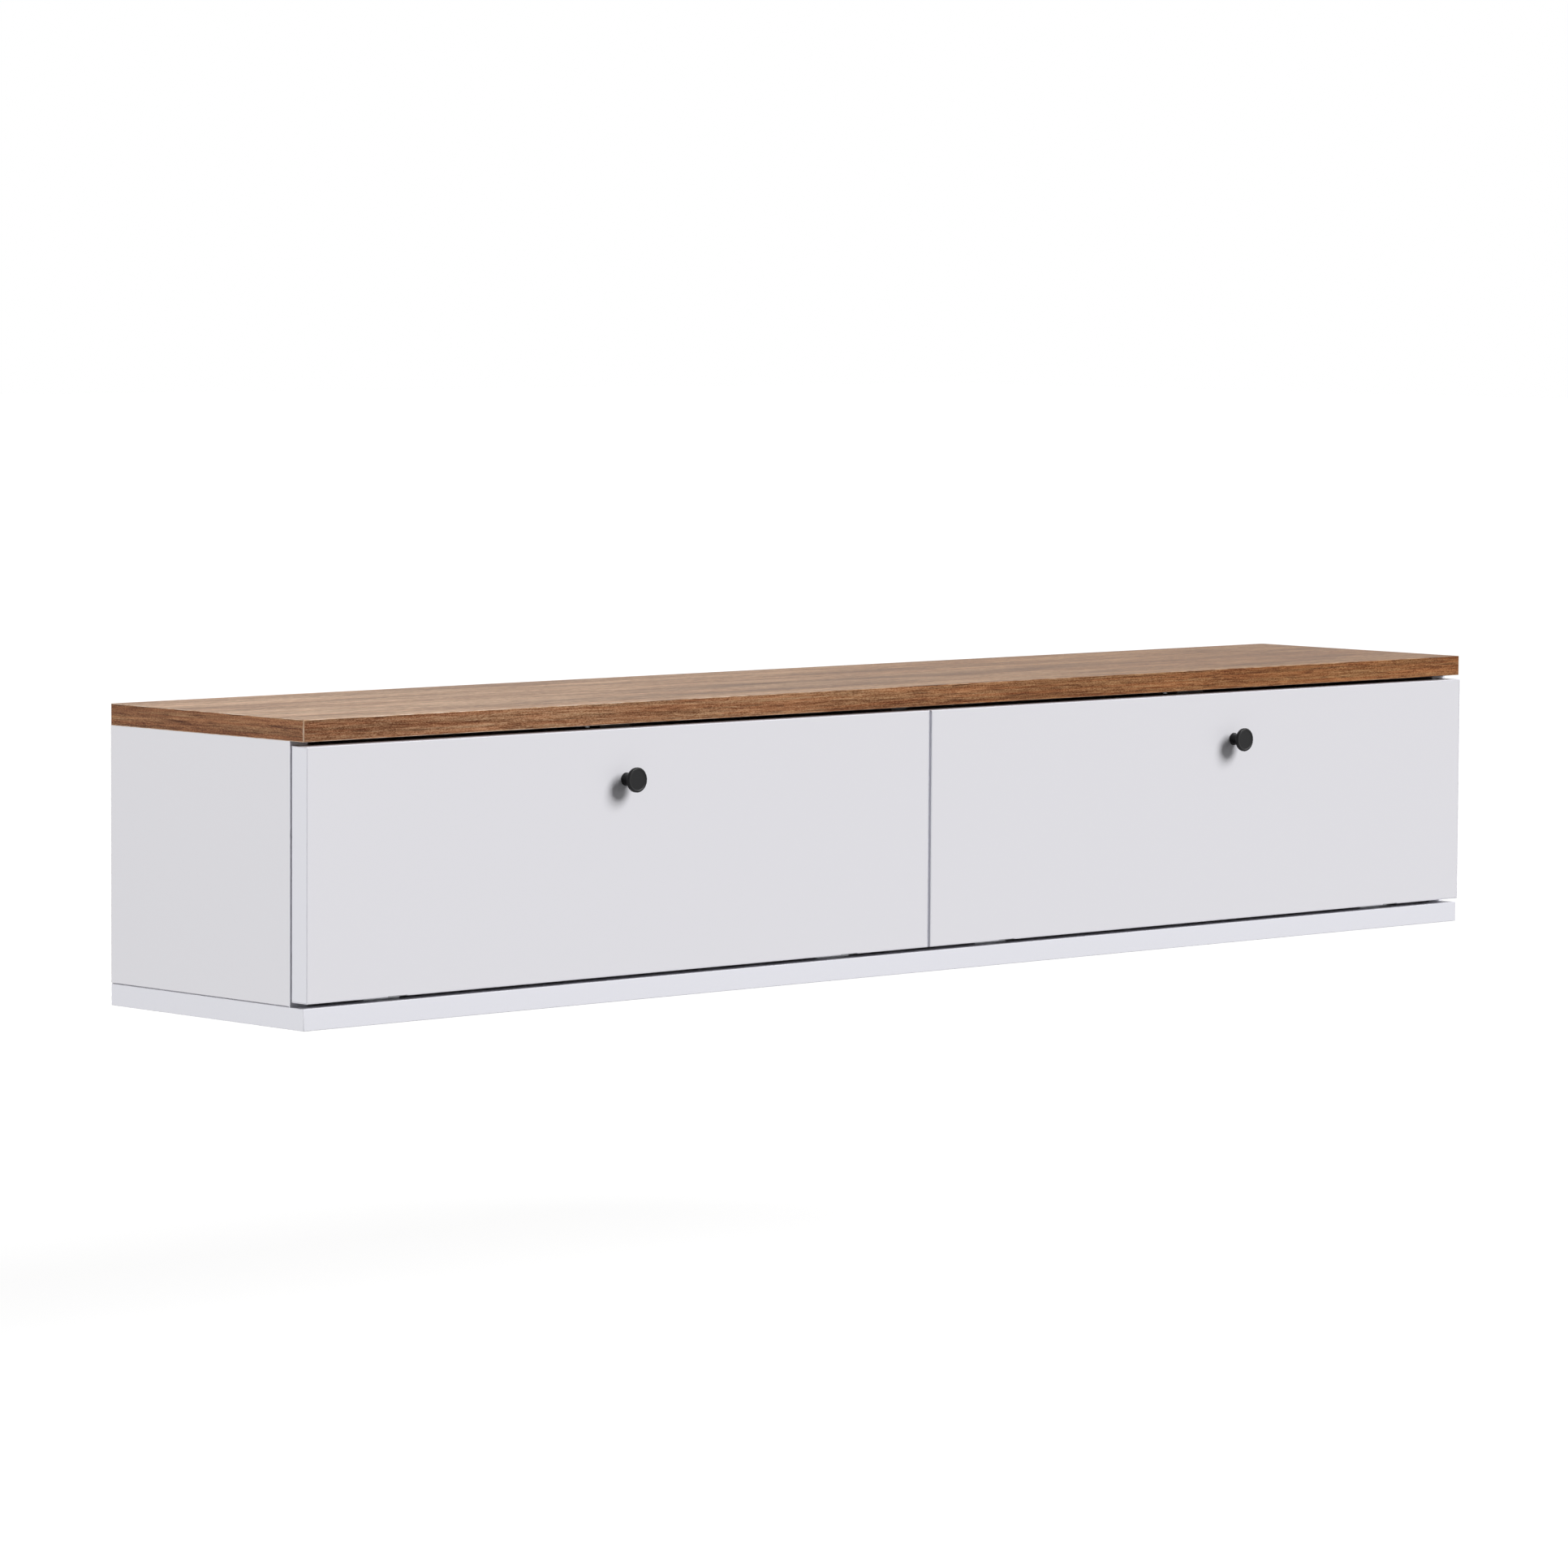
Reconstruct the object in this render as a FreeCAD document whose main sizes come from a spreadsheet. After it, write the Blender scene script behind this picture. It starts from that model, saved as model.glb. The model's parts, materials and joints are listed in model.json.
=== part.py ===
import FreeCAD, Part
import math
import os
import re

import Sketcher

# Wall-hung television cabinet with two drop-down flaps, in millimetres.
# X runs along the cabinet, to the right as seen from the front. The front faces -Y and Z is up.
# The origin is the middle of the underside.

SIZES = {
    # carcase
    "cabinet_width": 1400,
    "cabinet_depth": 250,
    "cabinet_height": 250,
    "board": 18,
    "band": 0.8,
    # flaps
    "door_gap": 3.75,
    "door_middle_gap": 2.5,
    "door_board": 19,
    "door_end_inset": 1,
    "door_proud": 2.6,
    "door_back_gap": 0.9,
    "divider_setback": 20,
    # back boards and the rails that hang on the wall
    "back_board": 3,
    "back_setback": 10,
    "groove_depth": 6,
    "groove_slack": 0.2,
    "groove_end_slack": 0.5,
    "rail_height": 60,
    "wall_hole_bore": 7,
    "wall_hole_inset": 80,
    # cam fittings and wooden dowels of the carcase
    "fitting_front_setback": 45,
    "fitting_back_setback": 55,
    "dowel_step": 32,
    "dowel_bore": 8,
    "dowel_slack": 0.1,
    "dowel_chamfer": 0.8,
    "dowel_in_face": 8,
    "dowel_in_edge": 20,
    "rail_dowel_spacing": 32,
    "cam_bore": 15,
    "cam_hole_depth": 13.8,
    "cam_length": 13.4,
    "cam_slack": 0.1,
    "cam_from_edge": 24,
    "cam_channel_bore": 7.2,
    "cam_socket_bore": 5,
    "cam_socket_depth": 4,
    "bolt_bore": 8,
    "bolt_thread_width": 7,
    "bolt_thread_length": 11,
    "bolt_collar_width": 7.8,
    "bolt_collar_length": 2,
    "bolt_shank_width": 4.4,
    "bolt_head_width": 6.8,
    "bolt_head_length": 3,
    "cap_width": 17,
    "cap_thickness": 0.8,
    "cap_peg_width": 4.8,
    "cap_peg_length": 3,
    # wood screw
    "screw_head_width": 6.4,
    "screw_head_height": 2.2,
    "screw_head_flat_width": 4,
    "screw_head_rim": 1.2,
    "screw_width": 3.2,
    "screw_length": 13,
    "screw_point": 3,
    "recess_length": 3.6,
    "recess_width": 0.8,
    "recess_depth": 1.1,
    # flap hinges: a block let into the flap turns on a pin at the end of a fixed arm
    "hinge_inset": 95,
    "pin_behind_face": 5.2,
    "pin_above_edge": 3.5,
    "pin_width": 2.4,
    "pin_slack": 0.05,
    "block_width": 20,
    "block_height": 16,
    "block_skin": 2,
    "block_slot_gap": 0.4,
    "leaf_width": 44,
    "leaf_height": 30,
    "leaf_edge_gap": 1,
    "leaf_thickness": 1.2,
    "leaf_screw_spacing": 30,
    "leaf_screw_rise": 23,
    "arm_width": 8,
    "arm_metal": 3,
    "arm_eye_width": 4.4,
    "arm_reach": 16.8,
    "arm_foot_length": 28,
    "arm_screw_back": 16,
    "plate_width": 38,
    "plate_thickness": 2,
    "plate_screw_spacing": 25,
    # slotted stay at the outer end of each flap
    "stay_pivot_up": 80,
    "stay_pivot_behind": 12.5,
    "stud_ahead_of_rail": 124,
    "stud_height": 120,
    "stay_arm_offset": 5.3,
    "stay_arm_metal": 2,
    "stay_arm_width": 14,
    "stay_side_gap": 0.3,
    "stud_neck_width": 6,
    "stud_boss_width": 12,
    "stud_boss_length": 5,
    "stud_head_width": 11,
    "stud_head_length": 1.5,
    "stud_root_width": 5,
    "stud_root_length": 10,
    "rivet_width": 5,
    "rivet_head_width": 9,
    "rivet_head_length": 1.2,
    "bracket_metal": 2,
    "bracket_flange_width": 16,
    "bracket_height": 36,
    "bracket_screw_spacing": 24,
    "bracket_ear_width": 14,
    # magnetic catch under the top board
    "catch_width": 34,
    "catch_depth": 16,
    "catch_height": 12,
    "catch_air": 0.3,
    "catch_ear_length": 11,
    "catch_ear_thickness": 2.5,
    "catch_ear_depth": 10,
    "magnet_width": 26,
    "magnet_depth": 9,
    "magnet_height": 6,
    "strike_width": 56,
    "strike_height": 9,
    "strike_thickness": 1,
    "strike_edge_gap": 0.5,
    "strike_screw_spacing": 46,
    # knobs
    "knob_height": 186,
    "left_knob_out": 356,
    "right_knob_out": 387,
    "knob_length": 15,
    "knob_head_width": 21,
    "knob_head_thickness": 3.2,
    "knob_neck_width": 10.2,
    "knob_base_width": 11.2,
    "knob_base_thickness": 1,
    "knob_base_slope": 1.4,
    "knob_flare": 1.8,
    "knob_rim_width": 1.4,
    "knob_dish_depth": 0.5,
    "knob_rounding": 0.9,
    "knob_screw_width": 4,
    "knob_screw_slack": 0.25,
    "knob_thread_depth": 9,
    "knob_screw_head_width": 8,
    "knob_screw_head_height": 2.6,
    # how far a cutting tool runs past the face that it opens
    "overrun": 1,
}

doc = FreeCAD.newDocument("wall_cabinet")
sheet = doc.addObject("Spreadsheet::Sheet", "Sizes")
for row, (alias, value) in enumerate(SIZES.items(), start=1):
    sheet.set(f"A{row}", alias.replace("_", " "))
    sheet.set(f"B{row}", str(value))
    sheet.setAlias(f"B{row}", alias)
doc.recompute()

# Places that several pieces share, as formulas on the sheet's names.
HALF_WIDTH = "(cabinet_width / 2)"
SIDE_INNER = "(cabinet_width / 2 - board)"
FRONT = "(-cabinet_depth / 2)"
BACK = "(cabinet_depth / 2)"
UNDER_TOP = "(cabinet_height - board)"
DOOR_FRONT = "(-cabinet_depth / 2 - door_proud)"
DOOR_BACK = "(-cabinet_depth / 2 - door_proud + door_board)"
DOOR_LOW = "(board + door_gap)"
DOOR_HIGH = "(cabinet_height - board - door_gap)"
DOOR_NEAR = "(door_middle_gap / 2)"
DOOR_FAR = "(cabinet_width / 2 - door_end_inset)"
UPRIGHT_FRONT = f"({DOOR_BACK} + door_back_gap)"
DIVIDER_FRONT = f"({UPRIGHT_FRONT} + divider_setback)"
BACK_BOARD_FRONT = f"({BACK} - back_setback - back_board)"
RAIL_FRONT = f"({BACK_BOARD_FRONT} - board)"
PIN_Y = f"({DOOR_FRONT} + pin_behind_face)"
PIN_Z = f"({DOOR_LOW} + pin_above_edge)"
LEAF_SCREW_Z = f"({DOOR_LOW} + leaf_screw_rise)"
PIVOT_Y = f"({DOOR_BACK} + stay_pivot_behind)"
PIVOT_Z = f"({PIN_Z} + stay_pivot_up)"
STUD_Y = f"({RAIL_FRONT} - stud_ahead_of_rail)"
# How far a flap swings down, in degrees.
FLAP_SWING = 90

TURNS = {
    "+Z": FreeCAD.Rotation(),
    "-Z": FreeCAD.Rotation(FreeCAD.Vector(1, 0, 0), 180),
    "+Y": FreeCAD.Rotation(FreeCAD.Vector(1, 0, 0), -90),
    "-Y": FreeCAD.Rotation(FreeCAD.Vector(1, 0, 0), 90),
    "+X": FreeCAD.Rotation(FreeCAD.Vector(0, 1, 0), 90),
    "-X": FreeCAD.Rotation(FreeCAD.Vector(0, 1, 0), -90),
}
SIDES = {"left": -1, "right": 1}
sub_parts = []


def bind(item, name, formula):
    # The words of a formula are the sheet's names.
    def word(found):
        return "Sizes." + found[0] if found[0] in SIZES else found[0]

    item.setExpression(name, re.sub("[a-z_]+", word, formula))


def place(item, spot, towards="+Z"):
    # An item's own +Z is turned towards a row axis, and its origin goes to the spot.
    item.Placement = FreeCAD.Placement(FreeCAD.Vector(), TURNS[towards])
    for axis, formula in zip("xyz", spot):
        bind(item, "Placement.Base." + axis, formula)
    return item


def keep(piece, name):
    piece.Label = name
    sub_parts.append(piece)
    return piece


def across(side, near, far):
    # The span between two distances from the middle, on the left or on the right.
    return (f"-({far})", f"-({near})") if side == "left" else (near, far)


def out(side, distance):
    return f"{SIDES[side]} * ({distance})"


def about(centre, width):
    return (f"({centre}) - {width} / 2", f"({centre}) + {width} / 2")


def box(name, x, y, z):
    piece = doc.addObject("Part::Box", name)
    for length, (low, high) in zip(("Length", "Width", "Height"), (x, y, z)):
        bind(piece, length, f"({high}) - ({low})")
    return place(piece, (x[0], y[0], z[0]))


def rod(name, width, length, spot, towards):
    piece = doc.addObject("Part::Cylinder", name)
    bind(piece, "Radius", f"({width}) / 2")
    bind(piece, "Height", length)
    return place(piece, spot, towards)


def joined(name, pieces):
    piece = doc.addObject("Part::MultiFuse", name)
    piece.Shapes = pieces
    return piece


def group(name, pieces):
    piece = doc.addObject("Part::Compound", name)
    piece.Links = pieces
    return piece


def carved(name, base, tools):
    piece = doc.addObject("Part::Cut", name)
    piece.Base = base
    piece.Tool = group(name + "_tools", tools)
    return piece


def origin_plane(body, role):
    return next(plane for plane in body.Origin.OriginFeatures if plane.Role == role)


def outline(body, name, role, points):
    # A closed outline of straight lines whose corners are formulas.
    sketch = body.newObject("Sketcher::SketchObject", name)
    sketch.AttachmentSupport = [(origin_plane(body, role), "")]
    sketch.MapMode = "FlatFace"
    count = len(points)
    corners = [FreeCAD.Vector(math.cos(turn), math.sin(turn)) for turn in
               (math.tau * index / count for index in range(count))]
    for index in range(count):
        sketch.addGeometry(Part.LineSegment(corners[index], corners[(index + 1) % count]))
    for index in range(count):
        sketch.addConstraint(Sketcher.Constraint("Coincident", index, 2, (index + 1) % count, 1))
    for index, point in enumerate(points):
        for kind, origin_line, formula in zip(("DistanceX", "DistanceY"), (-2, -1), point):
            if formula == "0":
                sketch.addConstraint(Sketcher.Constraint("PointOnObject", index, 1, origin_line))
                continue
            number = sketch.addConstraint(Sketcher.Constraint(kind, -1, 1, index, 1, 1))
            bind(sketch, f"Constraints[{number}]", formula)
    return sketch


def board(name, x, y, z):
    # A board is padded up from its own outline.
    body = doc.addObject("PartDesign::Body", name)
    length, width = f"({x[1]}) - ({x[0]})", f"({y[1]}) - ({y[0]})"
    corners = [("0", "0"), (length, "0"), (length, width), ("0", width)]
    pad = body.newObject("PartDesign::Pad", name + "_pad")
    pad.Profile = outline(body, name + "_outline", "XY_Plane", corners)
    bind(pad, "Length", f"({z[1]}) - ({z[0]})")
    return place(body, (x[0], y[0], z[0]))


def turned(name, points):
    # A turned piece is revolved from (radius, height) points on one side of its axis.
    body = doc.addObject("PartDesign::Body", name)
    sketch = outline(body, name + "_outline", "XZ_Plane", points)
    spin = body.newObject("PartDesign::Revolution", name + "_spin")
    spin.Profile = sketch
    spin.ReferenceAxis = (sketch, ["V_Axis"])
    spin.Angle = 360
    return body


def copies(name, master, spots):
    # Equal pieces, each a solid of its own: spots are (x, y, z, direction).
    links = []
    for number, (x, y, z, towards) in enumerate(spots):
        link = doc.addObject("App::Link", f"{name}_{number}")
        link.LinkedObject = master
        links.append(place(link, (x, y, z), towards))
    return keep(group(name + "_group", links), name)


# Fasteners. Each master stands on its seat with its head, or its longer end, towards +Z.


def wood_screw():
    points = [
        ("0", "-screw_length"),
        ("screw_width / 2", "screw_point - screw_length"),
        ("screw_width / 2", "0"),
        ("screw_head_width / 2", "0"),
        ("screw_head_width / 2", "screw_head_rim"),
        ("screw_head_flat_width / 2", "screw_head_height"),
        ("0", "screw_head_height"),
    ]
    floor = "screw_head_height - recess_depth"
    return crossed("wood_screw_master", points, floor, "screw_head_height + overrun")


def knob_screw():
    points = [
        ("0", "-door_board - knob_thread_depth"),
        ("knob_screw_width / 2", "-door_board - knob_thread_depth"),
        ("knob_screw_width / 2", "0"),
        ("knob_screw_head_width / 2", "0"),
        ("knob_screw_head_width / 2", "screw_head_rim"),
        ("screw_head_width / 2", "knob_screw_head_height"),
        ("0", "knob_screw_head_height"),
    ]
    floor = "knob_screw_head_height - recess_depth"
    return crossed("knob_screw_master", points, floor, "knob_screw_head_height + overrun")


def crossed(name, points, floor, ceiling):
    # A screw with a cross recess in its head.
    blank = turned(name + "_blank", points)
    long_way, short_way = about("0", "recess_length"), about("0", "recess_width")
    slots = [
        box(name + "_slot", long_way, short_way, (floor, ceiling)),
        box(name + "_cross_slot", short_way, long_way, (floor, ceiling)),
    ]
    return carved(name, blank, slots)


def wooden_dowel():
    radius = "(dowel_bore / 2 - dowel_slack)"
    return turned("dowel_master", [
        ("0", "-dowel_in_face"),
        (f"{radius} - dowel_chamfer", "-dowel_in_face"),
        (radius, "dowel_chamfer - dowel_in_face"),
        (radius, "dowel_in_edge - dowel_chamfer"),
        (f"{radius} - dowel_chamfer", "dowel_in_edge"),
        ("0", "dowel_in_edge"),
    ])


def cam_bolt():
    head_low = "cam_from_edge - bolt_head_length / 2"
    head_high = "cam_from_edge + bolt_head_length / 2"
    return turned("cam_bolt_master", [
        ("0", "-bolt_thread_length"),
        ("bolt_thread_width / 2", "-bolt_thread_length"),
        ("bolt_thread_width / 2", "0"),
        ("bolt_collar_width / 2", "0"),
        ("bolt_collar_width / 2", "bolt_collar_length"),
        ("bolt_shank_width / 2", "bolt_collar_length"),
        ("bolt_shank_width / 2", head_low),
        ("bolt_head_width / 2", head_low),
        ("bolt_head_width / 2", head_high),
        ("0", head_high),
    ])


def cam_lock():
    width = "cam_bore - 2 * cam_slack"
    barrel = rod("cam_barrel", width, "cam_length", ("0", "0", "-cam_length"), "+Z")
    channel = rod("cam_channel", "cam_channel_bore", "cam_bore + 2 * overrun",
                  ("-cam_bore / 2 - overrun", "0", "-board / 2"), "+X")
    socket = rod("cam_socket", "cam_socket_bore", "cam_socket_depth + overrun",
                 ("0", "0", "-cam_socket_depth"), "+Z")
    return carved("cam_lock_master", barrel, [channel, socket])


def cam_cap():
    return turned("cam_cap_master", [
        ("0", "-cap_peg_length"),
        ("cap_peg_width / 2", "-cap_peg_length"),
        ("cap_peg_width / 2", "0"),
        ("cap_width / 2", "0"),
        ("cap_width / 2 - cap_thickness / 2", "cap_thickness"),
        ("0", "cap_thickness"),
    ])


# Where the carcase is joined. An upright is a side board or the divider.
# Its cams open on the face that is given: +X, or -X on the right side board.

UPRIGHTS = {
    "left_side_panel": (f"-{SIDE_INNER} - board", f"-{SIDE_INNER}", "+X"),
    "centre_divider": ("-board / 2", "board / 2", "+X"),
    "right_side_panel": (SIDE_INNER, f"{SIDE_INNER} + board", "-X"),
}
ENDS = {"bottom": ("board", "+Z", "board + cam_from_edge"),
        "top": (UNDER_TOP, "-Z", f"{UNDER_TOP} - cam_from_edge")}
FITTING_ROWS = {"front": (f"{UPRIGHT_FRONT} + fitting_front_setback", "dowel_step"),
                "back": (f"{BACK} - fitting_back_setback", "-dowel_step")}
RAIL_MID_Z = f"({UNDER_TOP} - rail_height / 2)"
RAIL_MID_Y = f"({BACK_BOARD_FRONT} - board / 2)"
RAIL_DOWEL_HEIGHTS = (f"{RAIL_MID_Z} - rail_dowel_spacing / 2",
                      f"{RAIL_MID_Z} + rail_dowel_spacing / 2")


def middle(low, high):
    return f"(({low}) + ({high})) / 2"


def joint_spots(ends=ENDS, uprights=UPRIGHTS):
    # Yields each upright's end with the place of its cam bolt and of its dowel.
    for upright in uprights:
        low, high, face = UPRIGHTS[upright]
        for end in ends:
            seat, inward, cam_z = ENDS[end]
            for bolt_y, step in FITTING_ROWS.values():
                bolt = (middle(low, high), bolt_y, seat, inward)
                dowel = (middle(low, high), f"{bolt_y} + {step}", seat, inward)
                cam = (high if face == "+X" else low, bolt_y, cam_z, face)
                yield bolt, dowel, cam


def rail_dowel_spots(uprights=("left", "middle left", "middle right", "right")):
    # The dowels point from the upright's face into the rail's end.
    places = {
        "left": (f"-{SIDE_INNER}", "+X"),
        "middle left": ("-board / 2", "-X"),
        "middle right": ("board / 2", "+X"),
        "right": (SIDE_INNER, "-X"),
    }
    for name in uprights:
        x, inward = places[name]
        for z in RAIL_DOWEL_HEIGHTS:
            yield x, RAIL_MID_Y, z, inward


OPPOSITE = {"+X": "-X", "-X": "+X", "+Y": "-Y", "-Y": "+Y", "+Z": "-Z", "-Z": "+Z"}


def turned_round(spots):
    return [(x, y, z, OPPOSITE[towards]) for x, y, z, towards in spots]


def drill(name, width, depth, spots):
    # Holes that start at each spot and run along its direction.
    return [rod(f"{name}_{number}", width, depth, (x, y, z), towards)
            for number, (x, y, z, towards) in enumerate(spots)]


def screw_holes(name, spots):
    # A screw points out of its seat, so its hole runs the other way.
    return drill(name, "screw_width", "screw_length", turned_round(spots))


FULL_WIDTH = (f"-{HALF_WIDTH}", HALF_WIDTH)
BANDED_WIDTH = (f"band - {HALF_WIDTH}", f"{HALF_WIDTH} - band")
GROOVE_SPAN = (f"{BACK_BOARD_FRONT} - groove_slack / 2",
               f"{BACK_BOARD_FRONT} + back_board + groove_slack / 2")

# The two hinges of a flap, as distances from the cabinet's middle.
HINGES = {"inner": f"({DOOR_NEAR} + hinge_inset)", "outer": f"({DOOR_FAR} - hinge_inset)"}


def catch_centre(side):
    return out(side, f"({DOOR_NEAR} + {DOOR_FAR}) / 2")


PLATE_SEAT = "(board + plate_thickness)"
FOOT_SEAT = f"({PLATE_SEAT} + arm_metal)"
ARM_BACK = f"({PIN_Y} + arm_reach)"


def plate_screw_spots(side):
    for distance in HINGES.values():
        for sign in (-1, 1):
            x = f"{out(side, distance)} + {sign} * plate_screw_spacing / 2"
            yield x, f"{ARM_BACK} + arm_screw_back", PLATE_SEAT, "+Z"
        yield out(side, distance), f"{ARM_BACK} + arm_screw_back", FOOT_SEAT, "+Z"


EAR_SEAT = f"({UNDER_TOP} - catch_ear_thickness)"
CATCH_FRONT = f"({DOOR_BACK} + strike_thickness + catch_air)"
CATCH_BACK = f"({CATCH_FRONT} + catch_depth)"


def catch_screw_spots(side):
    for sign in (-1, 1):
        x = f"{catch_centre(side)} + {sign} * (catch_width + catch_ear_length) / 2"
        yield x, f"{CATCH_BACK} - catch_ear_depth / 2", EAR_SEAT, "-Z"


# Carcase boards.


def flat_boards():
    heights = {"bottom": ("0", "board"), "top": (UNDER_TOP, "cabinet_height")}
    for name, height in heights.items():
        core = board(f"{name}_board", BANDED_WIDTH, (f"{FRONT} + band", BACK), height)
        grooves = {"bottom": ("board - groove_depth", "board + overrun"),
                   "top": (f"{UNDER_TOP} - overrun", f"{UNDER_TOP} + groove_depth")}
        tools = [box(f"{name}_groove", BANDED_WIDTH, GROOVE_SPAN, grooves[name])]
        spots = list(joint_spots(ends=(name,)))
        bolts = turned_round(bolt for bolt, dowel, cam in spots)
        tools += drill(f"{name}_bolt_hole", "bolt_thread_width", "bolt_thread_length", bolts)
        dowels = turned_round(dowel for bolt, dowel, cam in spots)
        tools += drill(f"{name}_dowel_hole", "dowel_bore", "dowel_in_face", dowels)
        for side in SIDES:
            screws = plate_screw_spots(side) if name == "bottom" else catch_screw_spots(side)
            tools += screw_holes(f"{name}_{side}_screw_hole", screws)
        keep(carved(f"{name}_drilled", core, tools), f"{name}_panel")


def flat_board_bands():
    front = (FRONT, f"{FRONT} + band")
    behind = (f"{FRONT} + band", BACK)
    top = (UNDER_TOP, "cabinet_height")
    keep(box("top_front_strip", FULL_WIDTH, front, top), "top_front_band")
    for side in SIDES:
        end = across(side, f"{HALF_WIDTH} - band", HALF_WIDTH)
        keep(box(f"top_{side}_strip", end, behind, top), f"top_{side}_band")
    strips = [box("bottom_front_strip", FULL_WIDTH, front, ("0", "board"))]
    for side in SIDES:
        end = across(side, f"{HALF_WIDTH} - band", HALF_WIDTH)
        strips.append(box(f"bottom_{side}_strip", end, behind, ("0", "board")))
    keep(group("bottom_strips", strips), "bottom_edge_bands")


def stud_spot(side):
    return out(side, SIDE_INNER), STUD_Y, "stud_height"


def uprights():
    height = ("board", UNDER_TOP)
    strips = []
    rail_ends = {"left_side_panel": ("left",), "right_side_panel": ("right",),
                 "centre_divider": ("middle left", "middle right")}
    for name, (low, high, face) in UPRIGHTS.items():
        front = DIVIDER_FRONT if name == "centre_divider" else UPRIGHT_FRONT
        core = board(name + "_board", (low, high), (f"{front} + band", BACK), height)
        strips.append(box(name + "_strip", (low, high), (front, f"{front} + band"), height))
        tools = []
        if face == "+X":
            groove = (f"{high} - groove_depth", f"{high} + overrun")
            tools.append(box(name + "_groove", groove, GROOVE_SPAN, height))
        if name != "left_side_panel":
            groove = (f"{low} - overrun", f"{low} + groove_depth")
            tools.append(box(name + "_groove_too", groove, GROOVE_SPAN, height))
        spots = list(joint_spots(uprights=(name,)))
        bolts = [bolt for bolt, dowel, cam in spots]
        dowels = [dowel for bolt, dowel, cam in spots]
        cams = turned_round(cam for bolt, dowel, cam in spots)
        tools += drill(name + "_bolt_bore", "bolt_bore", "cam_from_edge", bolts)
        tools += drill(name + "_dowel_bore", "dowel_bore", "dowel_in_edge + dowel_slack", dowels)
        tools += drill(name + "_cam_bore", "cam_bore", "cam_hole_depth", cams)
        rail_dowels = turned_round(rail_dowel_spots(rail_ends[name]))
        tools += drill(name + "_rail_bore", "dowel_bore", "dowel_in_face", rail_dowels)
        side = name.split("_")[0]
        if side in SIDES:
            into = {"left": "-X", "right": "+X"}[side]
            tools.append(rod(name + "_stud_bore", "stud_root_width", "stud_root_length",
                             stud_spot(side), into))
        keep(carved(name + "_drilled", core, tools), name)
    keep(group("upright_strips", strips), "upright_front_bands")


def wall_hole_spots(side):
    for distance in ("board / 2 + wall_hole_inset", f"{SIDE_INNER} - wall_hole_inset"):
        yield out(side, distance)


def back_and_rails():
    for side in SIDES:
        reach = "(groove_depth - groove_end_slack)"
        wide = across(side, f"board / 2 - {reach}", f"{SIDE_INNER} + {reach}")
        high = (f"board - {reach}", f"{UNDER_TOP} + {reach}")
        deep = (BACK_BOARD_FRONT, f"{BACK_BOARD_FRONT} + back_board")
        core = board(f"{side}_back_board", wide, deep, high)
        holes = []
        for number, x in enumerate(wall_hole_spots(side)):
            holes.append(rod(f"{side}_back_hole_{number}", "wall_hole_bore", "back_board + 2 * overrun",
                             (x, f"{BACK_BOARD_FRONT} - overrun", RAIL_MID_Z), "+Y"))
        keep(carved(f"{side}_back_drilled", core, holes), f"{side}_back_panel")

        deep = (RAIL_FRONT, BACK_BOARD_FRONT)
        core = board(f"{side}_rail_board", across(side, "board / 2", SIDE_INNER), deep,
                     (f"{UNDER_TOP} - rail_height", UNDER_TOP))
        tools = []
        for number, x in enumerate(wall_hole_spots(side)):
            tools.append(rod(f"{side}_rail_hole_{number}", "wall_hole_bore", "board + 2 * overrun",
                             (x, f"{RAIL_FRONT} - overrun", RAIL_MID_Z), "+Y"))
        ends = (side, f"middle {side}")
        tools += drill(f"{side}_rail_bore", "dowel_bore", "dowel_in_edge + dowel_slack",
                       rail_dowel_spots(ends))
        keep(carved(f"{side}_rail_drilled", core, tools), f"{side}_wall_rail")


def carcase_fittings():
    spots = list(joint_spots())
    dowels = [dowel for bolt, dowel, cam in spots] + list(rail_dowel_spots())
    copies("wooden_dowels", wooden_dowel(), dowels)
    copies("cam_bolts", cam_bolt(), [bolt for bolt, dowel, cam in spots])
    copies("cam_locks", cam_lock(), [cam for bolt, dowel, cam in spots])
    copies("cam_caps", cam_cap(), [cam for bolt, dowel, cam in spots])


# Flaps.


def leaf_screw_spots(side):
    for distance in HINGES.values():
        for sign in (-1, 1):
            x = f"{out(side, distance)} + {sign} * leaf_screw_spacing / 2"
            yield x, f"{DOOR_BACK} + leaf_thickness", LEAF_SCREW_Z, "+Y"


STRIKE_HIGH = f"({DOOR_HIGH} - strike_edge_gap)"
STRIKE_LOW = f"({STRIKE_HIGH} - strike_height)"


def strike_screw_spots(side):
    for sign in (-1, 1):
        x = f"{catch_centre(side)} + {sign} * strike_screw_spacing / 2"
        yield x, f"{DOOR_BACK} + strike_thickness", middle(STRIKE_LOW, STRIKE_HIGH), "+Y"


EAR_FAR = f"({SIDE_INNER} - stay_arm_offset - stay_arm_metal - stay_side_gap)"
EAR_NEAR = f"({EAR_FAR} - bracket_metal)"
FLANGE_NEAR = f"({EAR_FAR} - bracket_flange_width)"


def bracket_screw_spots(side):
    for sign in (-1, 1):
        z = f"{PIVOT_Z} + {sign} * bracket_screw_spacing / 2"
        yield out(side, middle(FLANGE_NEAR, EAR_NEAR)), f"{DOOR_BACK} + bracket_metal", z, "+Y"


def knob_spot(side):
    return out(side, f"{side}_knob_out"), "knob_height"


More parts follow.
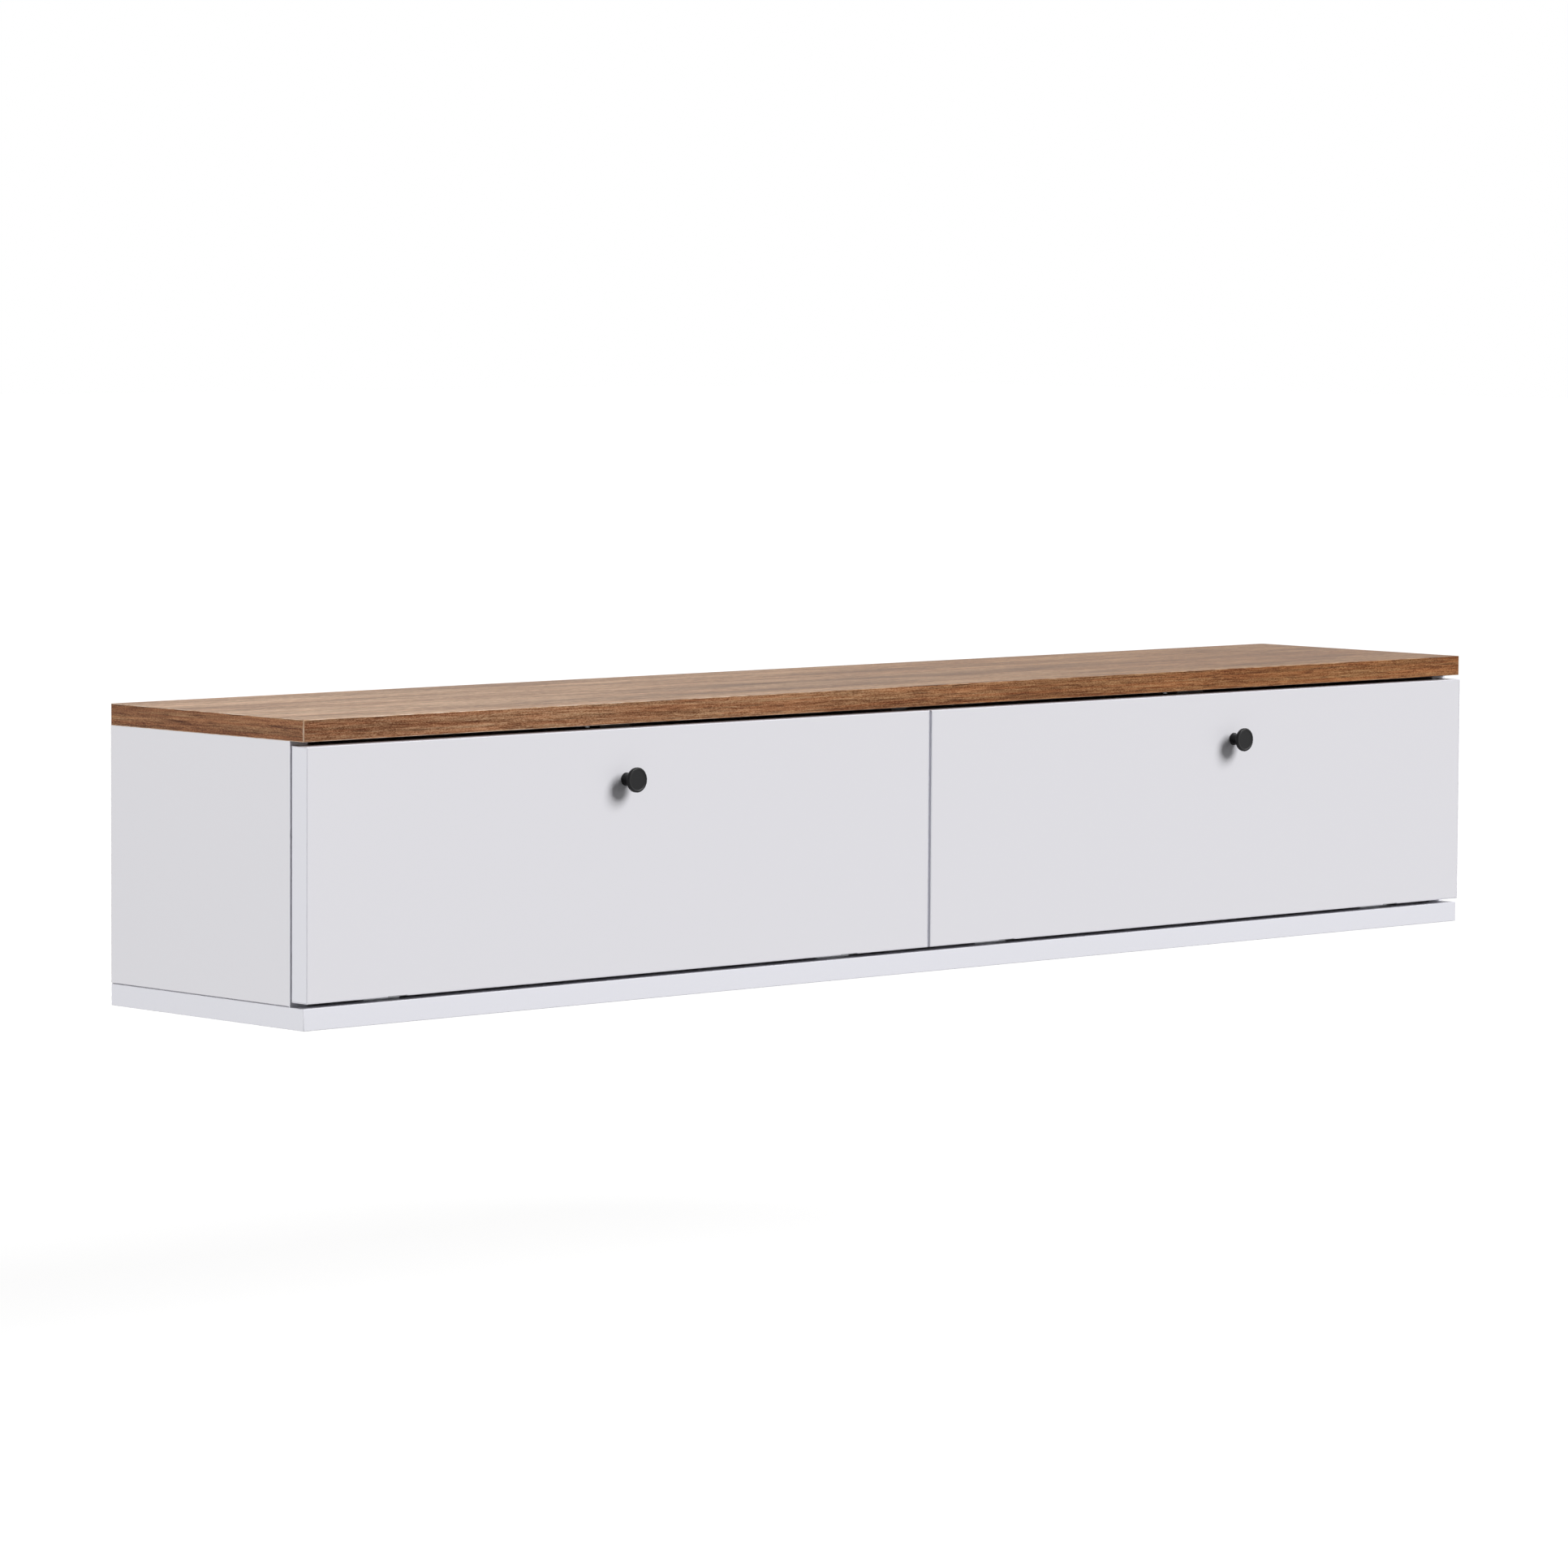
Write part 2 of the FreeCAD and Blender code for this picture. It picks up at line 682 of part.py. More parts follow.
def flap(side):
    wide = across(side, f"{DOOR_NEAR} + band", f"{DOOR_FAR} - band")
    deep = (DOOR_FRONT, DOOR_BACK)
    high = (f"{DOOR_LOW} + band", f"{DOOR_HIGH} - band")
    core = board(f"{side}_flap_board", wide, deep, high)
    pockets = [box(f"{side}_{hinge}_pocket", about(out(side, distance), "block_width"),
                   (f"{DOOR_FRONT} + block_skin", f"{DOOR_BACK} + overrun"),
                   (f"{DOOR_LOW} - overrun", f"{DOOR_LOW} + block_height"))
               for hinge, distance in HINGES.items()]
    tools = list(pockets)
    x, z = knob_spot(side)
    tools.append(rod(f"{side}_knob_hole", "knob_screw_width + 2 * knob_screw_slack",
                     "door_board + 2 * overrun", (x, f"{DOOR_FRONT} - overrun", z), "+Y"))
    screws = [*leaf_screw_spots(side), *strike_screw_spots(side), *bracket_screw_spots(side)]
    tools += screw_holes(f"{side}_flap_screw_hole", screws)
    keep(carved(f"{side}_flap_drilled", core, tools), f"{side}_door_panel")

    full = across(side, DOOR_NEAR, DOOR_FAR)
    low_strip = box(f"{side}_flap_low_strip", full, deep, (DOOR_LOW, f"{DOOR_LOW} + band"))
    strips = [
        carved(f"{side}_flap_low_strip_cut", low_strip, pockets),
        box(f"{side}_flap_high_strip", full, deep, (f"{DOOR_HIGH} - band", DOOR_HIGH)),
        box(f"{side}_flap_near_strip", across(side, DOOR_NEAR, f"{DOOR_NEAR} + band"), deep, high),
        box(f"{side}_flap_far_strip", across(side, f"{DOOR_FAR} - band", DOOR_FAR), deep, high),
    ]
    keep(group(f"{side}_flap_strips", strips), f"{side}_door_edge_bands")


def rounded(body, name, radius, width, height):
    # Rounds the circular edges of a turned piece that have this width and height.
    doc.recompute()
    solid = body.Tip
    reach = sheet.get(width) / 2
    level = sum(sheet.get(word) * sign for word, sign in height.items())
    edges = []
    for number, edge in enumerate(solid.Shape.Edges, start=1):
        curve = edge.Curve
        circle = curve.TypeId == "Part::GeomCircle"
        if circle and math.isclose(curve.Radius, reach) and math.isclose(curve.Center.z, level):
            edges.append(f"Edge{number}")
    fillet = body.newObject("PartDesign::Fillet", name)
    fillet.Base = (solid, edges)
    bind(fillet, "Radius", radius)
    return fillet


def knob(side):
    # A mushroom knob: a flared neck under a flat head with a raised rim.
    head_low = "knob_length - knob_head_thickness"
    points = [
        ("0", "knob_thread_depth"),
        ("0", "knob_length - knob_dish_depth"),
        ("knob_head_width / 2 - 2 * knob_rim_width", "knob_length - knob_dish_depth"),
        ("knob_head_width / 2 - knob_rim_width", "knob_length"),
        ("knob_head_width / 2", "knob_length"),
        ("knob_head_width / 2", head_low),
        ("knob_neck_width / 2 + knob_flare", f"{head_low} - knob_flare / 2"),
        ("knob_neck_width / 2", f"{head_low} - 2 * knob_flare"),
        ("knob_neck_width / 2", "knob_base_thickness + knob_base_slope"),
        ("knob_base_width / 2", "knob_base_thickness"),
        ("knob_base_width / 2", "0"),
        ("knob_screw_width / 2", "0"),
        ("knob_screw_width / 2", "knob_thread_depth"),
    ]
    body = turned(f"{side}_knob_body", points)
    rounded(body, f"{side}_knob_front_rounding", "knob_rounding", "knob_head_width",
            {"knob_length": 1})
    rounded(body, f"{side}_knob_back_rounding", "knob_rounding", "knob_head_width",
            {"knob_length": 1, "knob_head_thickness": -1})
    x, z = knob_spot(side)
    keep(place(body, (x, DOOR_FRONT, z), "-Y"), f"{side}_knob")


BLOCK_BACK = f"({DOOR_BACK} + leaf_thickness)"


def hinge_leaf(name, x, screws):
    # A cast block fills the flap's pocket, under a plate on the flap's back. Its slot is open
    # to the back and below, so that the fixed arm stays clear while the flap turns round the pin.
    block = box(name + "_block", about(x, "block_width"), (f"{DOOR_FRONT} + block_skin", BLOCK_BACK),
                (DOOR_LOW, f"{DOOR_LOW} + block_height"))
    plate = box(name + "_plate", about(x, "leaf_width"), (DOOR_BACK, BLOCK_BACK),
                (f"{DOOR_LOW} + leaf_edge_gap", f"{DOOR_LOW} + leaf_height"))
    reach = "(arm_eye_width / 2 + block_slot_gap)"
    slot = box(name + "_slot", about(x, "(arm_width + 2 * block_slot_gap)"),
               (f"{PIN_Y} - {reach}", f"{BLOCK_BACK} + overrun"),
               (f"{DOOR_LOW} - overrun", f"{PIN_Z} + {reach}"))
    bore = rod(name + "_pin_bore", "pin_width", "block_width + 2 * overrun",
               (f"{x} - block_width / 2 - overrun", PIN_Y, PIN_Z), "+X")
    holes = screw_holes(name + "_screw_hole", screws)
    keep(carved(name + "_bored", joined(name + "_blank", [block, plate]), [slot, bore, *holes]), name)


def hinge_arm(name, x):
    # A bracket: back from the pin, past the flap's turning lower corner, and down to its plate.
    wide = about(x, "arm_width")
    low = f"{x} - arm_width / 2"
    inner, outer = f"{ARM_BACK} - arm_metal / 2", f"{ARM_BACK} + arm_metal / 2"
    blank = joined(name + "_blank", [
        rod(name + "_eye", "arm_eye_width", "arm_width", (low, PIN_Y, PIN_Z), "+X"),
        box(name + "_beam", wide, (PIN_Y, outer), about(PIN_Z, "arm_metal")),
        box(name + "_drop", wide, (inner, outer), (PLATE_SEAT, PIN_Z)),
        box(name + "_foot", wide, (inner, f"{ARM_BACK} + arm_foot_length"), (PLATE_SEAT, FOOT_SEAT)),
    ])
    bore = rod(name + "_bore", "pin_width + 2 * pin_slack", "arm_width + 2 * overrun",
               (f"{low} - overrun", PIN_Y, PIN_Z), "+X")
    spot = (x, f"{ARM_BACK} + arm_screw_back", FOOT_SEAT, "+Z")
    holes = screw_holes(name + "_screw_hole", [spot])
    keep(carved(name + "_bored", blank, [bore, *holes]), name)


def hinges(side):
    pins, plates = [], []
    leaf_screws = list(leaf_screw_spots(side))
    for number, (hinge, distance) in enumerate(HINGES.items()):
        x = out(side, distance)
        name = f"{side}_{hinge}_hinge"
        hinge_leaf(name + "_leaf", x, leaf_screws[2 * number:2 * number + 2])
        hinge_arm(name + "_arm", x)
        pins.append(rod(name + "_pin", "pin_width", "block_width",
                        (f"{x} - block_width / 2", PIN_Y, PIN_Z), "+X"))
        plates.append(box(name + "_plate", about(x, "plate_width"),
                          (f"{ARM_BACK} - arm_metal / 2", f"{ARM_BACK} + arm_foot_length"),
                          ("board", PLATE_SEAT)))
    keep(group(f"{side}_pin_pair", pins), f"{side}_hinge_pins")
    holes = screw_holes(f"{side}_plate_hole", plate_screw_spots(side))
    pair = group(f"{side}_plate_pair", plates)
    keep(carved(f"{side}_plates_drilled", pair, holes), f"{side}_hinge_plates")


# Stays.


def stay_arm(side):
    # The stud is fixed to the side board, so seen from the arm it runs through the flap's swing
    # about a point as far from the stud as the flap's pin is from the arm's pivot.
    def vector(y, z):
        return FreeCAD.Vector(0, y, z)

    size = sheet.get
    door_front = -size("cabinet_depth") / 2 - size("door_proud")
    pin = vector(door_front + size("pin_behind_face"),
                 size("board") + size("door_gap") + size("pin_above_edge"))
    pivot = vector(door_front + size("door_board") + size("stay_pivot_behind"),
                   pin.z + size("stay_pivot_up"))
    rail_back = size("cabinet_depth") / 2 - size("back_setback") - size("back_board")
    stud = vector(rail_back - size("board") - size("stud_ahead_of_rail"), size("stud_height"))
    centre = pivot + stud - pin

    def stud_seen_from_arm(angle):
        return centre - FreeCAD.Rotation(FreeCAD.Vector(1, 0, 0), angle).multVec(pivot - pin)

    turns = (0, FLAP_SWING / 2, FLAP_SWING)
    sweep = Part.Arc(*(stud_seen_from_arm(angle) for angle in turns)).toShape()
    spine = Part.Wire([Part.makeLine(pivot, stud), sweep])
    blade = Part.Face(spine.makeOffset2D(size("stay_arm_width") / 2))
    slot_half = size("stud_neck_width") / 2 + size("stay_side_gap")
    slot = Part.Face(Part.Wire([sweep]).makeOffset2D(slot_half))
    eye_radius = size("rivet_width") / 2 + size("pin_slack")
    eye = Part.Face(Part.Wire([Part.makeCircle(eye_radius, pivot, FreeCAD.Vector(1, 0, 0))]))
    thickness = FreeCAD.Vector(size("stay_arm_metal"), 0, 0)
    arm = doc.addObject("Part::Feature", f"{side}_stay_arm_blade")
    arm.Shape = blade.cut([slot, eye]).extrude(thickness).Solids[0]
    far = f"{SIDE_INNER} - stay_arm_offset"
    low, high = across(side, f"{far} - stay_arm_metal", far)
    bind(arm, "Placement.Base.x", low)
    keep(arm, f"{side}_stay_arm")


def stay_stud(side):
    head_low = "stay_arm_offset + stay_arm_metal + stay_side_gap"
    points = [
        ("0", "-stud_root_length"),
        ("stud_root_width / 2", "-stud_root_length"),
        ("stud_root_width / 2", "0"),
        ("stud_boss_width / 2", "0"),
        ("stud_boss_width / 2", "stud_boss_length"),
        ("stud_neck_width / 2", "stud_boss_length"),
        ("stud_neck_width / 2", head_low),
        ("stud_head_width / 2", head_low),
        ("stud_head_width / 2", f"{head_low} + stud_head_length"),
        ("0", f"{head_low} + stud_head_length"),
    ]
    body = turned(f"{side}_stud_body", points)
    towards = {"left": "+X", "right": "-X"}[side]
    keep(place(body, stud_spot(side), towards), f"{side}_stay_stud")


def stay_bracket(side):
    name = f"{side}_bracket"
    flange = box(name + "_flange", across(side, FLANGE_NEAR, EAR_FAR),
                 (DOOR_BACK, f"{DOOR_BACK} + bracket_metal"), about(PIVOT_Z, "bracket_height"))
    ear = box(name + "_ear", across(side, EAR_NEAR, EAR_FAR), (DOOR_BACK, PIVOT_Y),
              about(PIVOT_Z, "bracket_ear_width"))
    low, high = across(side, EAR_NEAR, EAR_FAR)
    tip = rod(name + "_tip", "bracket_ear_width", "bracket_metal", (low, PIVOT_Y, PIVOT_Z), "+X")
    blank = joined(name + "_blank", [flange, ear, tip])
    bore = rod(name + "_bore", "rivet_width", "bracket_metal + 2 * overrun",
               (f"{low} - overrun", PIVOT_Y, PIVOT_Z), "+X")
    holes = screw_holes(name + "_screw_hole", bracket_screw_spots(side))
    keep(carved(name + "_drilled", blank, [bore, *holes]), f"{side}_stay_bracket")


def stay_rivet(side):
    # The rivet is closed on the ear. Its other head keeps the arm on, with a small gap.
    arm_far = f"({SIDE_INNER} - stay_arm_offset)"
    head_low = f"({arm_far} + stay_side_gap)"
    name = f"{side}_rivet"
    pieces = []
    spans = {
        "shank": ("rivet_width", EAR_NEAR, head_low),
        "outer_head": ("rivet_head_width", head_low, f"{head_low} + rivet_head_length"),
        "inner_head": ("rivet_head_width", f"{EAR_NEAR} - rivet_head_length", EAR_NEAR),
    }
    for part_name, (width, near, far) in spans.items():
        low, high = across(side, near, far)
        pieces.append(rod(f"{name}_{part_name}", width, f"({far}) - ({near})",
                          (low, PIVOT_Y, PIVOT_Z), "+X"))
    keep(joined(name + "_whole", pieces), f"{side}_stay_rivet")


# Magnetic catches.


def catch(side):
    x = catch_centre(side)
    low = f"({UNDER_TOP} - catch_height)"
    block = box(f"{side}_catch_block", about(x, "catch_width"), (CATCH_FRONT, CATCH_BACK),
                (low, UNDER_TOP))
    ears = box(f"{side}_catch_ears", about(x, "(catch_width + 2 * catch_ear_length)"),
               (f"{CATCH_BACK} - catch_ear_depth", CATCH_BACK), (EAR_SEAT, UNDER_TOP))
    blank = joined(f"{side}_catch_blank", [block, ears])
    magnet_height = about(middle(low, UNDER_TOP), "magnet_height")
    magnet_depth = (CATCH_FRONT, f"{CATCH_FRONT} + magnet_depth")
    pocket = box(f"{side}_catch_pocket", about(x, "magnet_width"),
                 (f"{CATCH_FRONT} - overrun", magnet_depth[1]), magnet_height)
    holes = screw_holes(f"{side}_catch_hole", catch_screw_spots(side))
    keep(carved(f"{side}_catch_drilled", blank, [pocket, *holes]), f"{side}_catch_housing")
    magnet = box(f"{side}_magnet", about(x, "magnet_width"), magnet_depth, magnet_height)

    plate = box(f"{side}_strike_blank", about(x, "strike_width"),
                (DOOR_BACK, f"{DOOR_BACK} + strike_thickness"), (STRIKE_LOW, STRIKE_HIGH))
    holes = screw_holes(f"{side}_strike_hole", strike_screw_spots(side))
    keep(carved(f"{side}_strike_drilled", plate, holes), f"{side}_catch_strike")
    return magnet


flat_boards()
flat_board_bands()
uprights()
back_and_rails()
carcase_fittings()

small_screw = wood_screw()
long_screw = knob_screw()
magnets = []
for hand in SIDES:
    flap(hand)
    knob(hand)
    knob_x, knob_z = knob_spot(hand)
    copies(f"{hand}_knob_screw", long_screw, [(knob_x, DOOR_BACK, knob_z, "+Y")])
    hinges(hand)
    copies(f"{hand}_hinge_leaf_screws", small_screw, leaf_screw_spots(hand))
    stay_arm(hand)
    stay_stud(hand)
    stay_bracket(hand)
    stay_rivet(hand)
    copies(f"{hand}_bracket_screws", small_screw, bracket_screw_spots(hand))
    magnets.append(catch(hand))
    copies(f"{hand}_strike_screws", small_screw, strike_screw_spots(hand))
keep(group("magnet_pair", magnets), "catch_magnets")
copies("hinge_plate_screws", small_screw,
       [spot for hand in SIDES for spot in plate_screw_spots(hand)])
copies("catch_screws", small_screw, [spot for hand in SIDES for spot in catch_screw_spots(hand)])

doc.recompute()
faulty = [item.Label for item in doc.Objects if {"Invalid", "Error"} & set(item.State)]
if faulty:
    raise RuntimeError(f"these objects failed: {faulty}")
for piece in sub_parts:
    if piece.Shape.isNull() or not piece.Shape.isValid():
        raise RuntimeError(f"{piece.Label} has no sound shape")

os.makedirs("parts", exist_ok=True)
for piece in sub_parts:
    piece.Shape.exportStep(f"parts/{piece.Label}.step")
    print(f"{piece.Label}: {len(piece.Shape.Solids)} solids, {piece.Shape.Volume:.0f} mm3")
print(len(sub_parts), "sub-parts")
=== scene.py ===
import json
import math

import bmesh
import bpy
from mathutils import Matrix, Vector

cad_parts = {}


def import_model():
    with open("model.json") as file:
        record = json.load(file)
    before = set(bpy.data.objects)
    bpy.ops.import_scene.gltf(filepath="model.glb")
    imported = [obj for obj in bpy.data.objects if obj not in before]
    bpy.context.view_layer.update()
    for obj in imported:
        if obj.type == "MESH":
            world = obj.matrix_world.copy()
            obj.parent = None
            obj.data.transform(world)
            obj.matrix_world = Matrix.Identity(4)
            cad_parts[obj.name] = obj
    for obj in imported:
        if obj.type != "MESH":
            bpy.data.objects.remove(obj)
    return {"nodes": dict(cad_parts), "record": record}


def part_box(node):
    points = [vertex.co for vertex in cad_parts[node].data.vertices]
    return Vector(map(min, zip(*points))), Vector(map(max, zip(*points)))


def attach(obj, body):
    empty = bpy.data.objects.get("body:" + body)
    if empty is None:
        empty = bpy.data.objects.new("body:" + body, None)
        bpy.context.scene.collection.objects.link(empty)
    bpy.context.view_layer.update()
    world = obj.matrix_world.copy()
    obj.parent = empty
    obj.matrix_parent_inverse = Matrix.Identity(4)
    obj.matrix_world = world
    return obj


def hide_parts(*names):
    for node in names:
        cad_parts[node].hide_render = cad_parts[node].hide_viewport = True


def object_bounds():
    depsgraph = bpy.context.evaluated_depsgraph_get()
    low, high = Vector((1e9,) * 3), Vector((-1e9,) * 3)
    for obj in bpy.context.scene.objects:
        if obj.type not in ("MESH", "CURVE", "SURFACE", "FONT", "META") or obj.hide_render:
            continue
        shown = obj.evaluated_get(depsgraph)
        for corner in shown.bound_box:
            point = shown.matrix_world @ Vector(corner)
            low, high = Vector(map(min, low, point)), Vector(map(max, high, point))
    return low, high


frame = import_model()
cadLow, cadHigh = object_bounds()
print("frame loaded with", len(frame["nodes"]), "nodes")

record = frame["record"]
nodes = frame["nodes"]
bodyOf = {node: body for body, members in record["behaviour"]["bodies"].items() for node in members}
slotOf = {part["node"]: part["material_slot"] for part in record["subparts"]}
sides = ("left", "right")
mm = 0.001
touching = 0.01 * mm       # a point this near to a face lies in it


# Colours are written as a picker shows them, from 0 to 255.
def picked(red, green, blue):
    def linear(value):
        share = value / 255
        return share / 12.92 if share <= 0.04045 else ((share + 0.055) / 1.055) ** 2.4
    return (linear(red), linear(green), linear(blue), 1)


# A wire is a socket that takes part in sums: each sum adds a Math node.
class Wire:
    def __init__(self, finish, socket):
        self.finish = finish
        self.socket = socket

    def math(self, operation, *values):
        return self.finish.node("Math", {"operation": operation}, dict(enumerate(values)))

    def __add__(self, other):
        return self.math("ADD", self, other)

    def __radd__(self, other):
        return self.math("ADD", other, self)

    def __sub__(self, other):
        return self.math("SUBTRACT", self, other)

    def __rsub__(self, other):
        return self.math("SUBTRACT", other, self)

    def __mul__(self, other):
        return self.math("MULTIPLY", self, other)

    def __rmul__(self, other):
        return self.math("MULTIPLY", other, self)

    def __gt__(self, other):
        return self.math("GREATER_THAN", self, other)

    def __lt__(self, other):
        # Python also asks for this one when a number stands on the left of >.
        return self.math("LESS_THAN", self, other)

    def largest(self, other):
        return self.math("MAXIMUM", self, other)

    def stretched(self, low, high):
        # 0 up to low, 1 from high, and smooth between them.
        settings = {"interpolation_type": "SMOOTHSTEP"}
        return self.finish.node("MapRange", settings, {0: self, 1: low, 2: high})


# A finish is the node tree of one material, or of the world. All its nodes come from node().
class Finish:
    def __init__(self, owner):
        self.owner = owner
        owner.use_nodes = True
        self.tree = owner.node_tree
        self.tree.nodes.clear()

    def node(self, kind, settings={}, values={}, outlet=0):
        made = self.tree.nodes.new("ShaderNode" + kind)
        for name, value in settings.items():
            if name == "stops":
                self.fillRamp(made.color_ramp, value)
            else:
                setattr(made, name, value)
        for name, value in values.items():
            if isinstance(value, Wire):
                self.tree.links.new(value.socket, made.inputs[name])
            else:
                made.inputs[name].default_value = value
        if made.outputs:
            return Wire(self, made.outputs[outlet])

    def fillRamp(self, ramp, stops):
        while len(ramp.elements) < len(stops):
            ramp.elements.new(1)
        for element, (place, colour) in zip(ramp.elements, stops):
            element.position = place
            element.color = colour

    def place(self):
        return self.node("TexCoord", outlet="Object")

    def apart(self, vector):
        # The three numbers of a vector.
        parts = self.node("SeparateXYZ", values={0: vector}).socket.node
        return [Wire(self, socket) for socket in parts.outputs]

    def together(self, x, y, z):
        return self.node("CombineXYZ", values={0: x, 1: y, 2: z})

    def scaled(self, vector, scale, shift=(0, 0, 0)):
        return self.node("Mapping", values={"Vector": vector, "Scale": scale, "Location": shift})

    def noise(self, vector, detail=2, roughness=0.5, distortion=0):
        values = {"Vector": vector, "Scale": 1, "Detail": detail, "Roughness": roughness,
                  "Distortion": distortion}
        return self.node("TexNoise", values=values)

    def speckle(self, scale, shift=(0, 0, 0), **look):
        # Noise fixed to the object, with about scale spots per metre along x, y and z.
        return self.noise(self.scaled(self.place(), scale, shift), **look)

    def mix(self, factor, first, second):
        return self.node("Mix", {"data_type": "RGBA"}, {0: factor, 6: first, 7: second}, outlet=2)

    def tinted(self, colour, tint):
        settings = {"data_type": "RGBA", "blend_type": "MULTIPLY"}
        return self.node("Mix", settings, {0: 1.0, 6: colour, 7: tint}, outlet=2)

    def bump(self, height, depth):
        return self.node("Bump", values={"Height": height, "Strength": 1, "Distance": depth})

    def surface(self, values):
        shader = self.node("BsdfPrincipled", values=values)
        self.node("OutputMaterial", values={"Surface": shader})
        return self.owner


def newFinish(name):
    return Finish(bpy.data.materials.new(name))


# Wood-grain foil on the top board and its bands.
woodLook = {
    "mark": picked(58, 32, 17),
    "roughness": 0.42,
    "markRoughness": 0.2,               # added in the marks
    "poreDepth": 0.00005,
    "shadesAt": (0.15, 0.50, 0.85),     # the tones where a grain's three shades stand
    "tintRange": (0.35, 0.65),
    "sheenDriftRange": (-0.65, 0.55),        # metres along the cabinet over which the painted sheen fades, from leftTint to rightTint
    "wave": {"scale": (3, 9, 9), "shift": (3, 1, 2)},   # of the grain that leaves its line
    "tintSeed": 9,                      # a layer's number is its seed, and these come after
    "markSeed": 11,
}

# Layers of grain: length and width of their marks in millimetres, and how much each counts.
bandGrain = {
    "shades": [picked(84, 46, 24), picked(139, 97, 66), picked(178, 138, 102)],
    "layers": [(330, 8, 0.58), (100, 1.9, 0.78), (150, 24, 0.32), (18, 0.7, 1.00), (1.8, 0.6, 1.15)],
    "tints": [(1.00, 1.02, 1.02, 1), (1.05, 0.89, 0.82, 1)],    # plain and russet, by turns
    "tintSize": (120, 2.6),
    "dashes": {"size": (24, 0.8), "range": (0.58, 0.68), "strength": 0.55},
    "cracks": {"size": (60, 1.2), "range": (0.69, 0.73), "strength": 0.85},
    "wander": 0.006,            # how far the grain leaves its line, in metres
    "specular": 0.08,
    "leftTint": (1.09, 1.19, 1.34, 1),      # painted sheen: the colour is paler and bluer at the cabinet's left end
    "rightTint": (1.00, 0.94, 0.80, 1),     # and darker and warmer at its right end, where that sheen fades
}
endGrain = {**bandGrain, "leftTint": (0.94, 0.90, 0.84, 1)}     # the left end's band is darker, without the painted sheen
topGrain = {
    # The shades are paler than the bands': painted sheen on the top, whose specular is kept low.
    "shades": [picked(104, 73, 52), picked(150, 113, 85), picked(190, 152, 122)],
    "layers": [(600, 30, 0.66), (280, 8, 0.55), (170, 50, 0.64), (100, 2.4, 0.80), (24, 1.2, 0.85),
               (7, 1.8, 0.90)],
    "tints": [(1.00, 1.01, 1.01, 1), (1.03, 0.96, 0.92, 1)],
    "tintSize": (420, 12),
    "dashes": {"size": (34, 0.8), "range": (0.62, 0.72), "strength": 0.45},
    "cracks": {"size": (170, 2.6), "range": (0.67, 0.73), "strength": 0.55},
    "wander": 0.030,
    "specular": 0.06,
    # painted sheen on the top: far paler and bluer at the left end, darker and warmer at the right
    "leftTint": (1.50, 1.66, 1.76, 1),
    "rightTint": (0.90, 0.84, 0.66, 1),
}


def grainPlace(finish, along, wander):
    # Object coordinates with the grain's own direction first.
    x, y, z = finish.apart(finish.place())
    if along == "Y":
        x, y = y, x
    place = finish.together(x, y, z)
    wave = finish.noise(finish.scaled(place, **woodLook["wave"]))
    drift = (wave - 0.5) * wander
    return finish.together(x, y + drift, z + drift)


def marks(finish, place, size, seed):
    # Noise drawn out along the grain, from a mark's size in millimetres to marks per metre.
    # The seed moves it away from the other layers' noise.
    long, wide = 1000 / size[0], 1000 / size[1]
    return finish.noise(finish.scaled(place, (long, wide, wide), (seed, 3 * seed, 5 - seed)))


def woodColour(finish, along, grain):
    look = woodLook
    place = grainPlace(finish, along, grain["wander"])
    tone = 0.5
    for number, (long, wide, weight) in enumerate(grain["layers"]):
        tone = (marks(finish, place, (long, wide), number) - 0.5) * weight + tone
    stops = list(zip(look["shadesAt"], grain["shades"]))
    colour = finish.node("ValToRGB", {"stops": stops}, {0: tone})
    turn = marks(finish, place, grain["tintSize"], look["tintSeed"]).stretched(*look["tintRange"])
    colour = finish.tinted(colour, finish.mix(turn, *grain["tints"]))
    # Painted sheen: the colour is tinted from leftTint at the cabinet's left end to rightTint at its
    # right end.
    x, y, z = finish.apart(finish.place())
    drift = x.stretched(*look["sheenDriftRange"])
    colour = finish.tinted(colour, finish.mix(drift, grain["leftTint"], grain["rightTint"]))
    cut = 0
    for number, name in enumerate(("dashes", "cracks")):
        kind = grain[name]
        drawn = marks(finish, place, kind["size"], look["markSeed"] + number)
        cut = (drawn.stretched(*kind["range"]) * kind["strength"]).largest(cut)
    return finish.mix(cut, colour, look["mark"]), cut


def woodFinish(name, along, grain, rawFrom=None):
    finish = newFinish(name)
    colour, cut = woodColour(finish, along, grain)
    if rawFrom is not None:
        colour = withRawEdge(finish, colour, rawFrom)
    return finish.surface({
        "Base Color": colour,
        "Roughness": cut * woodLook["markRoughness"] + woodLook["roughness"],
        "Specular IOR Level": grain["specular"],
        "Normal": finish.bump(1 - cut, woodLook["poreDepth"]),
    })


# The bands' rounded corners: a painted highlight, pale at the left and fading to plain further right,
# and dark in places from there on.
edgeHighlightLook = {
    "plain": picked(139, 97, 66),
    "pale": picked(196, 160, 128),
    "paintedHighlight": picked(238, 216, 194),
    "streak": (90, 90, 90),
    "streakRange": (0.3, 0.7),
    "patch": (11, 11, 11),
    "patchShift": (2, 0, 0),
    "patchRange": (0.50, 0.60),
    "highlightFadeRange": (-0.60, 0.10),         # metres along the cabinet, from the pale painted highlight to plain
    "roughness": 0.45,
    "specular": 0.15,
}


